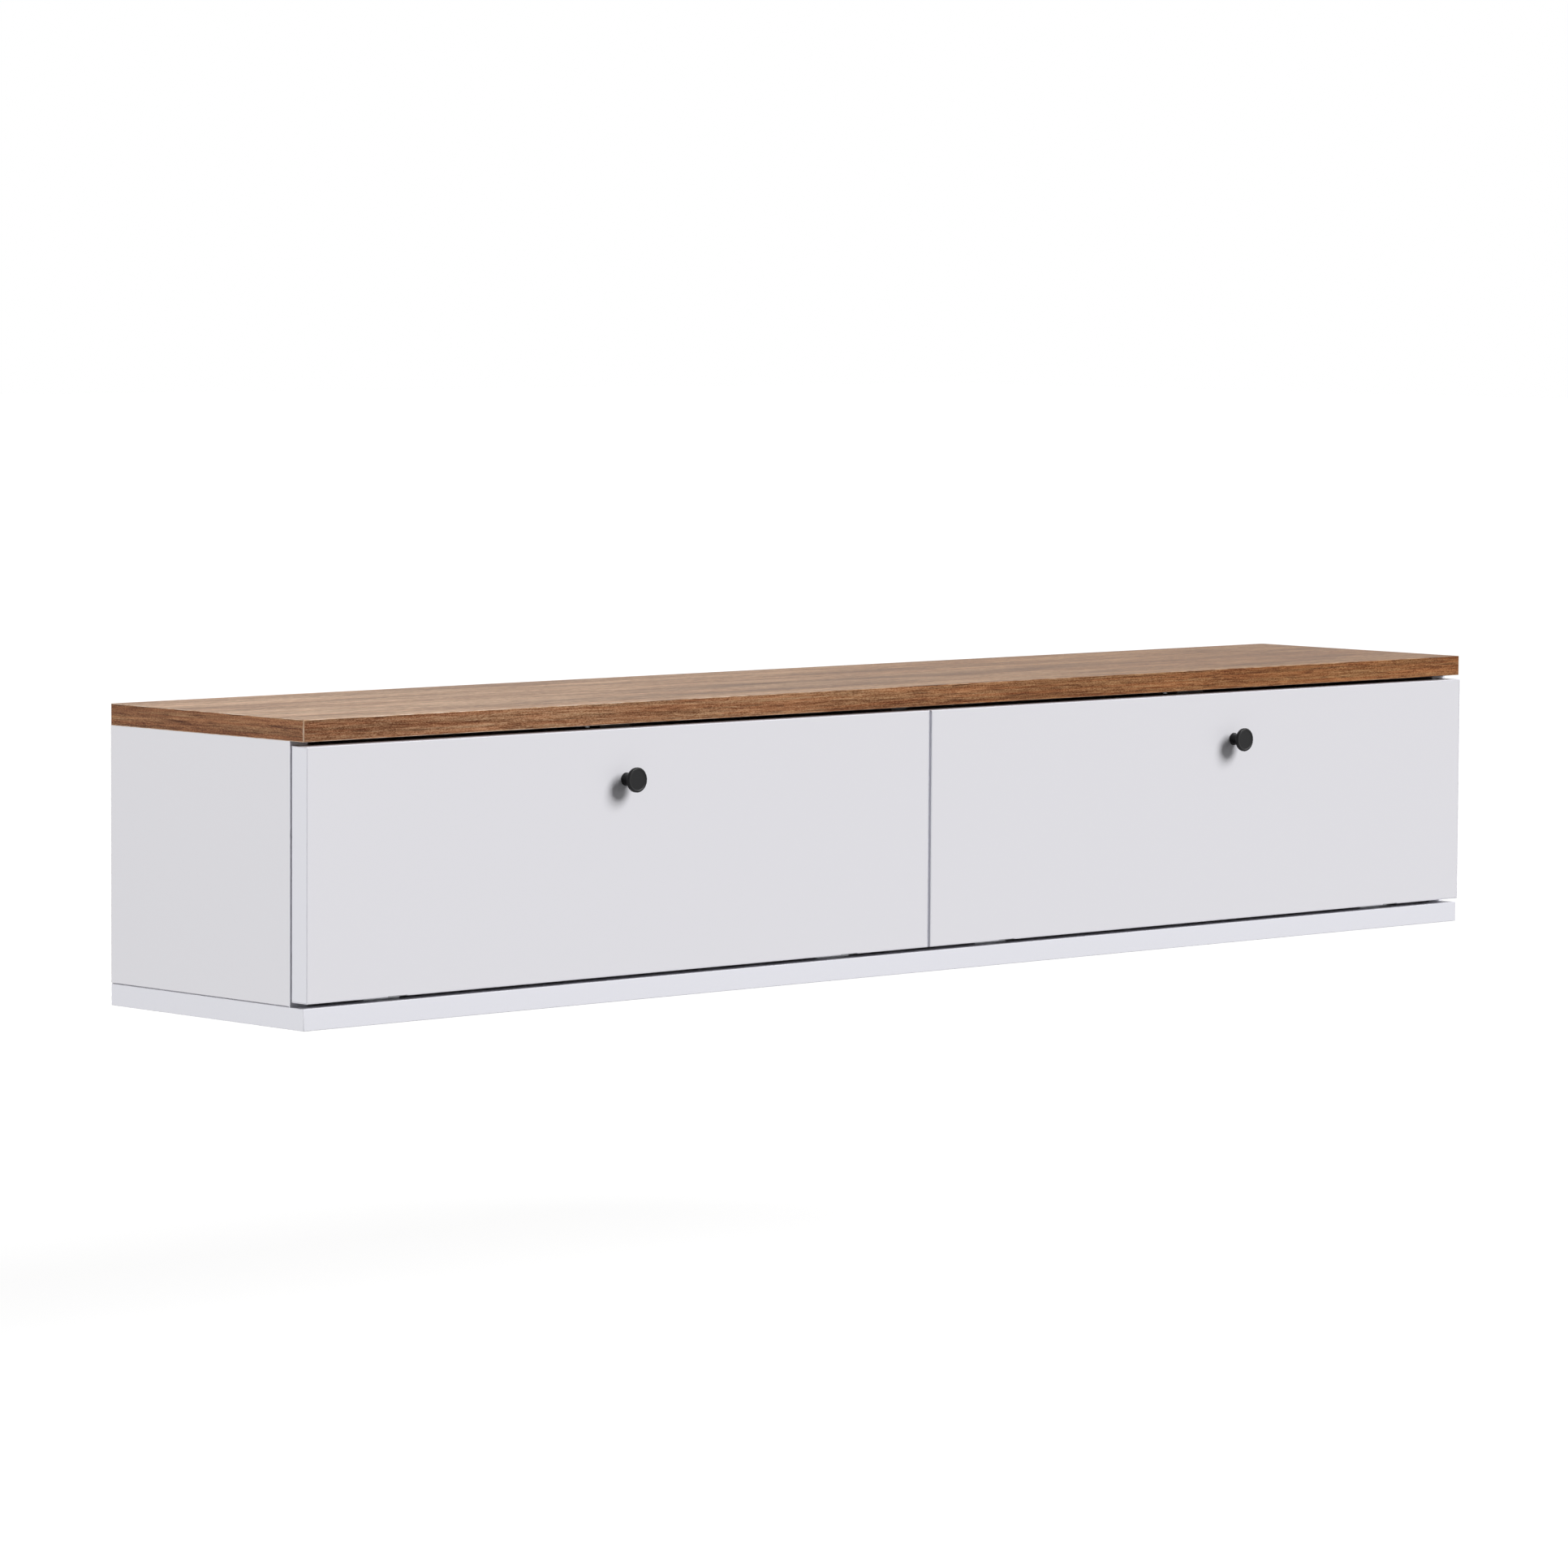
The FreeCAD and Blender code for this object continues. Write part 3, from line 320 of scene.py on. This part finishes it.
def edgeHighlightFinish():
    look = edgeHighlightLook
    finish = newFinish("wood_edge_painted_highlight")
    streaks = finish.speckle(look["streak"]).stretched(*look["streakRange"])
    pale = finish.mix(streaks, look["pale"], look["paintedHighlight"])
    plain = finish.mix(streaks, look["plain"], look["pale"])
    patches = finish.speckle(look["patch"], look["patchShift"], detail=3)
    x, y, z = finish.apart(finish.place())
    rightward = x.stretched(*look["highlightFadeRange"])
    dark = patches.stretched(*look["patchRange"]) * rightward
    return finish.surface({
        "Base Color": finish.mix(dark, finish.mix(rightward, pale, plain), woodLook["mark"]),
        "Roughness": look["roughness"],
        "Specular IOR Level": look["specular"],
    })


# The raw core shows at the boards' back edges.
coreLook = {
    "light": picked(205, 178, 136),
    "dark": picked(146, 112, 74),
    "chip": (260, 260, 620),
    "chipRange": (0.36, 0.64),
    "reach": 0.1 * mm,         # how far in front of the back edge it starts
}


def coreColour(finish):
    chips = finish.speckle(coreLook["chip"], detail=3, roughness=0.7, distortion=0.6)
    return finish.mix(chips.stretched(*coreLook["chipRange"]), coreLook["dark"], coreLook["light"])


def withRawEdge(finish, colour, rawFrom):
    x, y, z = finish.apart(finish.place())
    return finish.mix(y > rawFrom, colour, coreColour(finish))


# White boards and bands.
whiteLook = {
    "board": {"colour": picked(225, 224, 229), "roughness": 0.38},
    "band": {"colour": picked(229, 229, 236), "roughness": 0.34},
    "peel": (420, 420, 420),   # orange peel of the pressed face
    "peelDepth": 0.00001,
    "cloud": (6, 6, 6),
    "cloudColour": picked(214, 214, 220),
    "cloudStrength": 0.05,
    "cloudRoughness": 0.04,
}


def whiteFinish(name, kind, rawFrom=None):
    look = whiteLook
    finish = newFinish(name)
    peel = finish.speckle(look["peel"])
    cloud = finish.speckle(look["cloud"], detail=1)
    shade = finish.mix(cloud * look["cloudStrength"], kind["colour"], look["cloudColour"])
    if rawFrom is not None:
        shade = withRawEdge(finish, shade, rawFrom)
    return finish.surface({
        "Base Color": shade,
        "Roughness": kind["roughness"] + cloud * look["cloudRoughness"],
        "Normal": finish.bump(peel, look["peelDepth"]),
    })


# The thin back boards: white inside, bare brown fibre outside.
hardboardLook = {
    "dark": picked(112, 80, 53),
    "light": picked(150, 113, 78),
    "fibre": (900, 900, 900),
    "fibreRange": (0.3, 0.7),
    "fibreDepth": 0.00002,
    "insideRoughness": 0.45,
    "outsideRoughness": 0.80,
}


def hardboardFinish(splitAt):
    look = hardboardLook
    finish = newFinish("hardboard")
    x, y, z = finish.apart(finish.place())
    outside = y > splitAt
    fibres = finish.speckle(look["fibre"], detail=4, roughness=0.75)
    brown = finish.mix(fibres.stretched(*look["fibreRange"]), look["dark"], look["light"])
    rougher = look["outsideRoughness"] - look["insideRoughness"]
    return finish.surface({
        "Base Color": finish.mix(outside, whiteLook["board"]["colour"], brown),
        "Roughness": outside * rougher + look["insideRoughness"],
        "Normal": finish.bump(fibres, look["fibreDepth"]),
    })


beechLook = {
    "dark": picked(188, 150, 108),
    "light": picked(222, 190, 148),
    "fleck": (700, 260, 260),
    "roughness": 0.6,
}


def beechFinish():
    finish = newFinish("beech")
    flecks = finish.speckle(beechLook["fleck"], detail=3)
    return finish.surface({
        "Base Color": finish.mix(flecks, beechLook["dark"], beechLook["light"]),
        "Roughness": beechLook["roughness"],
    })


# Metals: bright zinc plate, and the duller cast pieces.
metalLook = {
    "zinc": {"light": picked(222, 224, 227), "dark": picked(184, 187, 192), "roughness": 0.26,
             "scratch": (300, 300, 2600)},
    "castZinc": {"light": picked(196, 197, 199), "dark": picked(150, 152, 155), "roughness": 0.42,
                 "scratch": (900, 900, 900)},
    "cloud": (160, 160, 160),
    "cloudRoughness": 0.16,
    "scratchDepth": 0.000008,
}


def metalFinish(name, kind):
    finish = newFinish(name)
    cloud = finish.speckle(metalLook["cloud"], detail=4, roughness=0.6)
    return finish.surface({
        "Base Color": finish.mix(cloud, kind["dark"], kind["light"]),
        "Metallic": 1.0,
        "Roughness": cloud * metalLook["cloudRoughness"] + kind["roughness"],
        "Normal": finish.bump(finish.speckle(kind["scratch"]), metalLook["scratchDepth"]),
    })


# Moulded plastics, and the magnets, which are as evenly grained.
plasticLook = {
    "white": {"light": picked(232, 232, 232), "dark": picked(222, 222, 223), "roughness": 0.42,
              "grain": (1800, 1800, 1800), "depth": 0.00001},
    # The catch housings' dark brown stands in as painted shade, keeping them dark in the gap above the
    # flaps.
    "brown": {"light": picked(62, 46, 36), "dark": picked(50, 37, 29), "roughness": 0.46,
              "grain": (1800, 1800, 1800), "depth": 0.00001},
    "magnet": {"light": picked(58, 58, 60), "dark": picked(44, 44, 46), "roughness": 0.55,
               "grain": (1500, 1500, 1500), "depth": 0.00002},
    "grainRoughness": 0.08,
}


def plasticFinish(name, kind):
    finish = newFinish(name)
    texture = finish.speckle(kind["grain"], detail=3, roughness=0.6)
    return finish.surface({
        "Base Color": finish.mix(texture, kind["dark"], kind["light"]),
        "Roughness": texture * plasticLook["grainRoughness"] + kind["roughness"],
        "Normal": finish.bump(texture, kind["depth"]),
    })


# Matt black lacquer of the knobs.
lacquerLook = {
    "dark": picked(12, 12, 13),
    "light": picked(21, 21, 23),
    "grit": (2600, 2600, 2600),
    "gritDepth": 0.000012,
    "gritRoughness": 0.1,
    "roughness": 0.34,
    "specular": 0.22,
}


def lacquerFinish():
    look = lacquerLook
    finish = newFinish("knob_black")
    grit = finish.speckle(look["grit"], detail=3, roughness=0.6)
    return finish.surface({
        "Base Color": finish.mix(grit, look["dark"], look["light"]),
        "Roughness": grit * look["gritRoughness"] + look["roughness"],
        "Specular IOR Level": look["specular"],
        "Normal": finish.bump(grit, look["gritDepth"]),
    })


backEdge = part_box("top_panel")[1].y - coreLook["reach"]
backSplit = sum(corner.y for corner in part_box("left_back_panel")) / 2
finishes = {
    "topBoard": woodFinish("wood_grain_top", "X", topGrain, backEdge),
    "frontBand": woodFinish("wood_grain_front_band", "X", bandGrain),
    "endBand": woodFinish("wood_grain_end_band", "Y", endGrain),
    "paintedHighlight": edgeHighlightFinish(),
    "whiteBoard": whiteFinish("white_melamine", whiteLook["board"]),
    "whiteCarcase": whiteFinish("white_melamine_raw_back", whiteLook["board"], backEdge),
    "whiteBand": whiteFinish("white_edge_band", whiteLook["band"]),
    "hardboard": hardboardFinish(backSplit),
    "beech": beechFinish(),
    "zinc": metalFinish("zinc_plate", metalLook["zinc"]),
    "castZinc": metalFinish("cast_zinc", metalLook["castZinc"]),
    "whitePlastic": plasticFinish("white_plastic", plasticLook["white"]),
    "shadeBrownPlastic": plasticFinish("brown_plastic", plasticLook["brown"]),
    "magnet": plasticFinish("magnet_grey", plasticLook["magnet"]),
    "lacquer": lacquerFinish(),
}
finishOfSlot = {
    "wood_decor_board": "topBoard",
    "wood_decor_band": "frontBand",
    "white_board": "whiteBoard",
    "white_band": "whiteBand",
    "white_hardboard": "hardboard",
    "beech": "beech",
    "zinc_steel": "zinc",
    "cast_zinc": "castZinc",
    "white_plastic": "whitePlastic",
    "brown_plastic": "shadeBrownPlastic",
    "magnet": "magnet",
    "black_knob": "lacquer",
}
# Nodes whose finish isn't their slot's usual one.
ownFinish = {
    "top_left_band": "endBand",
    "top_right_band": "endBand",
    "bottom_panel": "whiteCarcase",
    "left_side_panel": "whiteCarcase",
    "right_side_panel": "whiteCarcase",
    "centre_divider": "whiteCarcase",
}


def finishFor(node):
    return finishes[ownFinish.get(node, finishOfSlot[slotOf[node]])]


def paint(piece, material):
    piece.data.materials.clear()
    piece.data.materials.append(material)


for node, piece in nodes.items():
    paint(piece, finishFor(node))
print("finishes made:", len(finishes))


# Modelling helpers.
smoothAngle = 50           # degrees: edges that turn less than this are shaded round


def deselectAll():
    bpy.ops.object.select_all(action="DESELECT")


def choose(piece):
    deselectAll()
    piece.select_set(True)
    bpy.context.view_layer.objects.active = piece


def block(name, low, high):
    deselectAll()
    middle = (Vector(low) + Vector(high)) / 2
    bpy.ops.mesh.primitive_cube_add(size=1, location=middle, scale=Vector(high) - Vector(low))
    piece = bpy.context.object
    piece.name = name
    bpy.ops.object.transform_apply(location=True, rotation=True, scale=True)
    return piece


def bevelEdges(piece, wanted, width, segments, profile=0.5):
    # Rounds each edge whose two ends are both wanted. Profile 0 cuts a square rebate instead.
    choose(piece)
    bpy.ops.object.mode_set(mode="EDIT")
    bpy.ops.mesh.select_mode(type="EDGE")
    bpy.ops.mesh.select_all(action="DESELECT")
    mesh = bmesh.from_edit_mesh(piece.data)
    for edge in mesh.edges:
        edge.select_set(all(wanted(vertex.co) for vertex in edge.verts))
    bmesh.update_edit_mesh(piece.data)
    bpy.ops.mesh.bevel(offset=width, segments=segments, profile=profile, affect="EDGES",
                       clamp_overlap=True)
    bpy.ops.object.mode_set(mode="OBJECT")


def joinAll(name, pieces):
    deselectAll()
    for piece in pieces:
        piece.select_set(True)
    bpy.context.view_layer.objects.active = pieces[0]
    bpy.ops.object.join()
    pieces[0].name = name
    return pieces[0]


def smooth(piece):
    # Round corners are shaded round, and flat faces stay flat up to them.
    choose(piece)
    bpy.ops.object.shade_smooth_by_angle(angle=math.radians(smoothAngle))
    weights = piece.modifiers.new("flat_faces", "WEIGHTED_NORMAL")
    weights.keep_sharp = True
    bpy.ops.object.modifier_apply(modifier=weights.name)


def standIn(piece, node):
    # The piece takes the node's place, body and finish.
    paint(piece, finishFor(node))
    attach(piece, bodyOf[node])
    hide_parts(node)


# Edge bands: thin strips whose outer edges are rounded a little.
bandLook = {
    "rounding": 0.5 * mm,
    "segments": 3,
    "thickness": 0.8 * mm,
    "hingeNotch": 10 * mm,     # from a hinge's middle to its notch's end
    "flat": 0.99,              # a flat face's normal has at least this along one axis
}


def strip(name, low, high, outside):
    # outside is the axis number and the sign of the strip's outer face.
    axis, sign = outside
    face = (high if sign > 0 else low)[axis]
    piece = block(name, low, high)
    bevelEdges(piece, lambda point: abs(point[axis] - face) < touching, bandLook["rounding"],
               bandLook["segments"])
    return piece


def paintRounding(piece, material):
    # Faces that look along no axis are the rounded corners.
    piece.data.materials.append(material)
    for face in piece.data.polygons:
        if max(abs(part) for part in face.normal) < bandLook["flat"]:
            face.material_index = 1


def topBands():
    outsides = {"top_front_band": (1, -1), "top_left_band": (0, -1), "top_right_band": (0, 1)}
    for node, outside in outsides.items():
        low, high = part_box(node)
        piece = strip(node + "_rounded", low, high, outside)
        smooth(piece)
        standIn(piece, node)
        paintRounding(piece, finishes["paintedHighlight"])


def bottomBands():
    low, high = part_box("bottom_edge_bands")
    thick = bandLook["thickness"]
    behind = low.y + thick
    strips = [
        strip("bottom_front", low, (high.x, behind, high.z), (1, -1)),
        strip("bottom_left", (low.x, behind, low.z), (low.x + thick, high.y, high.z), (0, -1)),
        strip("bottom_right", (high.x - thick, behind, low.z), high, (0, 1)),
    ]
    piece = joinAll("bottom_bands_rounded", strips)
    smooth(piece)
    standIn(piece, "bottom_edge_bands")


def flapBands(side):
    low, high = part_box(f"{side}_door_edge_bands")
    thick = bandLook["thickness"]
    # The lower strip stops at the hinges' notches.
    ends = [low.x]
    for hinge in sorted(("inner", "outer"), reverse=(side == "left")):
        armLow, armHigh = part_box(f"{side}_{hinge}_hinge_arm")
        middle = (armLow.x + armHigh.x) / 2
        ends += [middle - bandLook["hingeNotch"], middle + bandLook["hingeNotch"]]
    ends.append(high.x)
    strips = [strip(f"{side}_low_{number}", (ends[number], low.y, low.z),
                    (ends[number + 1], high.y, low.z + thick), (2, -1))
              for number in range(0, len(ends), 2)]
    strips += [
        strip(f"{side}_high", (low.x, low.y, high.z - thick), high, (2, 1)),
        strip(f"{side}_near", (low.x, low.y, low.z + thick), (low.x + thick, high.y, high.z - thick),
              (0, -1)),
        strip(f"{side}_far", (high.x - thick, low.y, low.z + thick), (high.x, high.y, high.z - thick),
              (0, 1)),
    ]
    piece = joinAll(f"{side}_flap_bands_rounded", strips)
    smooth(piece)
    standIn(piece, f"{side}_door_edge_bands")


topBands()
bottomBands()
for side in sides:
    flapBands(side)
print("edge bands made")


# Mushroom knobs, grown from a disc ring by ring. All sizes are in millimetres.
knobLook = {
    # distance from the flap, and radius
    "rings": [(0, 5.6), (0.9, 5.6), (1.7, 5.1), (8.6, 5.1), (10.3, 5.7), (11.3, 7.2), (11.8, 10.5),
              (15.0, 10.5)],
    "rimWidth": 1.9,
    "dishSlope": 0.8,
    "dishDepth": 0.6,
    "rounding": {15.0: 1.1, 11.8: 0.7},     # of the rings at these distances from the flap
    "roundingSegments": 5,
    "sides": 96,
}


def knob(side):
    low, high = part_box(f"{side}_knob")
    look = knobLook
    rimRadius = look["rings"][-1][1] * mm
    centre = Vector(((low.x + high.x) / 2, high.y, (low.z + high.z) / 2))
    deselectAll()
    bpy.ops.mesh.primitive_circle_add(vertices=look["sides"], radius=look["rings"][0][1] * mm,
                                      fill_type="NGON", location=centre,
                                      rotation=(math.radians(90), 0, 0))
    piece = bpy.context.object
    piece.name = f"{side}_knob_turned"
    bpy.ops.object.transform_apply(location=True, rotation=True, scale=True)
    bpy.ops.object.mode_set(mode="EDIT")
    bpy.ops.mesh.select_all(action="SELECT")
    for (nearOut, nearRadius), (farOut, farRadius) in zip(look["rings"], look["rings"][1:]):
        bpy.ops.mesh.extrude_region_move(
            TRANSFORM_OT_translate={"value": (0, (nearOut - farOut) * mm, 0)})
        grow = farRadius / nearRadius
        bpy.ops.transform.resize(value=(grow, 1, grow), center_override=centre)
    bpy.ops.mesh.inset(thickness=look["rimWidth"] * mm)
    bpy.ops.mesh.inset(thickness=look["dishSlope"] * mm, depth=-look["dishDepth"] * mm)
    bpy.ops.mesh.select_all(action="SELECT")
    bpy.ops.mesh.normals_make_consistent(inside=False)
    bpy.ops.object.mode_set(mode="OBJECT")

    def onRim(point, distance):
        radius = math.hypot(point.x - centre.x, point.z - centre.z)
        return abs(radius - rimRadius) < touching and abs(centre.y - point.y - distance * mm) < touching

    for distance, width in look["rounding"].items():
        bevelEdges(piece, lambda point: onRim(point, distance), width * mm, look["roundingSegments"])
    smooth(piece)
    standIn(piece, f"{side}_knob")


for side in sides:
    knob(side)
print("knobs made")


# Copies of the boards' and fittings' solids with some of their edges worked, in millimetres
# and degrees.
fittingLook = {
    "brokenEdges": {            # how wide, by the ending of the node's name
        "hinge_arm": 0.25,
        "hinge_leaf": 0.20,
        "hinge_plates": 0.25,
        "stay_arm": 0.25,
        "stay_bracket": 0.25,
        "stay_stud": 0.20,
        "stay_rivet": 0.20,
        "catch_housing": 0.35,
        "catch_strike": 0.15,
    },
    "sharpAngle": 40,
    "mergeDistance": 0.002,
    "flatAngle": 0.5,
}
boardLook = {
    "sideFoot": 1.0,            # rebate where a side board meets the bottom board
    "flapFace": 0.22,           # fine groove between a flap's face and its bands
}


def softened(node, width, wanted=None, segments=2, profile=0.5):
    # Without wanted, each sharp edge is broken, and otherwise those whose ends are wanted.
    look = fittingLook
    piece = bpy.data.objects.new(node + "_softened", nodes[node].data.copy())
    bpy.context.scene.collection.objects.link(piece)
    choose(piece)
    bpy.ops.object.mode_set(mode="EDIT")
    bpy.ops.mesh.select_all(action="SELECT")
    bpy.ops.mesh.remove_doubles(threshold=look["mergeDistance"] * mm)
    bpy.ops.mesh.dissolve_limited(angle_limit=math.radians(look["flatAngle"]))
    bpy.ops.mesh.select_all(action="DESELECT")
    bpy.ops.mesh.select_mode(type="EDGE")
    if wanted is None:
        bpy.ops.mesh.edges_select_sharp(sharpness=math.radians(look["sharpAngle"]))
        bpy.ops.mesh.bevel(offset=width * mm, segments=segments, affect="EDGES", clamp_overlap=True)
        bpy.ops.object.mode_set(mode="OBJECT")
    else:
        bpy.ops.object.mode_set(mode="OBJECT")
        bevelEdges(piece, wanted, width * mm, segments, profile)
    smooth(piece)
    standIn(piece, node)


def sideBoard(side):
    low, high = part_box(f"{side}_side_panel")
    outer = low.x if side == "left" else high.x

    def onFoot(point):
        return abs(point.x - outer) < touching and point.z - low.z < touching

    softened(f"{side}_side_panel", boardLook["sideFoot"], onFoot, segments=2, profile=0)


def flapBoard(side):
    low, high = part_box(f"{side}_door_panel")

    def onOutline(point):
        inset = min(point.x - low.x, high.x - point.x, point.z - low.z, high.z - point.z)
        return point.y - low.y < touching and inset < touching

    softened(f"{side}_door_panel", boardLook["flapFace"], onOutline, segments=1)


for node in sorted(nodes):
    for ending, width in fittingLook["brokenEdges"].items():
        if node.endswith(ending):
            softened(node, width)
for side in sides:
    sideBoard(side)
    flapBoard(side)
print("boards and fittings softened")


# Floor and lights.
lightLook = {
    "floorDrop": 0.30,
    "floorSize": 60,
    "floorColour": (0.25, 0.25, 0.25, 1),   # what the floor reflects onto the object
    "floorShown": 0.93,         # how white the floor is in its darkest shadow
    "floorShadow": (0.2, 0.2, 0.2, 1),      # what light adds to that, and shadow takes away
    "ambient": 0.14,
    "key": {"towards": (0.46, -0.72, 0.53), "strength": 3.40, "softness": 30},
    "leftFill": {"towards": (-0.86, 0.50, 0.035), "strength": 2.24, "softness": 3},
}
white = (1, 1, 1, 1)


def seenDirectly(finish):
    # 1 where a ray comes from the camera, or by way of a mirror or glass.
    path = finish.node("LightPath").socket.node
    rays = [Wire(finish, path.outputs[name]) for name in
            ("Is Camera Ray", "Is Glossy Ray", "Is Transmission Ray")]
    return rays[0].largest(rays[1]).largest(rays[2])


def floor():
    look = lightLook
    finish = newFinish("floor_white")
    plain = finish.node("BsdfDiffuse", values={"Color": look["floorColour"]})
    glow = finish.node("Emission", values={"Color": white, "Strength": look["floorShown"]})
    faint = finish.node("BsdfDiffuse", values={"Color": look["floorShadow"]})
    shown = finish.node("AddShader", values={0: glow, 1: faint})
    both = finish.node("MixShader", values={0: seenDirectly(finish), 1: plain, 2: shown})
    finish.node("OutputMaterial", values={"Surface": both})
    deselectAll()
    bpy.ops.mesh.primitive_plane_add(size=look["floorSize"],
                                     location=(0, 0, cadLow.z - look["floorDrop"]))
    piece = bpy.context.object
    piece.name = "floor"
    paint(piece, finish.owner)


def world():
    sky = bpy.data.worlds.new("plain_white")
    bpy.context.scene.world = sky
    finish = Finish(sky)
    strength = seenDirectly(finish) * (1 - lightLook["ambient"]) + lightLook["ambient"]
    back = finish.node("Background", values={"Color": white, "Strength": strength})
    finish.node("OutputWorld", values={"Surface": back})


def lamp(name, look):
    light = bpy.data.lights.new(name, "SUN")
    light.energy = look["strength"]
    light.angle = math.radians(look["softness"])
    holder = bpy.data.objects.new(name, light)
    bpy.context.scene.collection.objects.link(holder)
    holder.rotation_euler = Vector(look["towards"]).to_track_quat("Z", "Y").to_euler()


floor()
world()
lamp("key_light", lightLook["key"])
lamp("left_fill", lightLook["leftFill"])
print("stage and lights made")


# The camera stands where the photograph's straight edges put it.
cameraLook = {
    "place": (-4.10236, -4.27345, 0.62328),
    "pan": -43.4500,           # degrees, from looking along +Y
    "tilt": -4.5096,
    "roll": 0.3577,
    "focalPixels": 8294.2,
    "framePixels": 1932,
    "sensor": 36,
    "clipEnd": 100,
}


def camera():
    look = cameraLook
    data = bpy.data.cameras.new("photo_camera")
    data.sensor_width = look["sensor"]
    data.lens = look["focalPixels"] / look["framePixels"] * look["sensor"]
    data.clip_end = look["clipEnd"]
    holder = bpy.data.objects.new("photo_camera", data)
    bpy.context.scene.collection.objects.link(holder)
    turn = (Matrix.Rotation(math.radians(look["pan"]), 4, "Z")
            @ Matrix.Rotation(math.radians(90 + look["tilt"]), 4, "X")
            @ Matrix.Rotation(math.radians(look["roll"]), 4, "Z"))
    holder.matrix_world = Matrix.Translation(look["place"]) @ turn
    bpy.context.scene.camera = holder


camera()
bpy.context.scene.view_settings.view_transform = "Standard"
print("camera made")
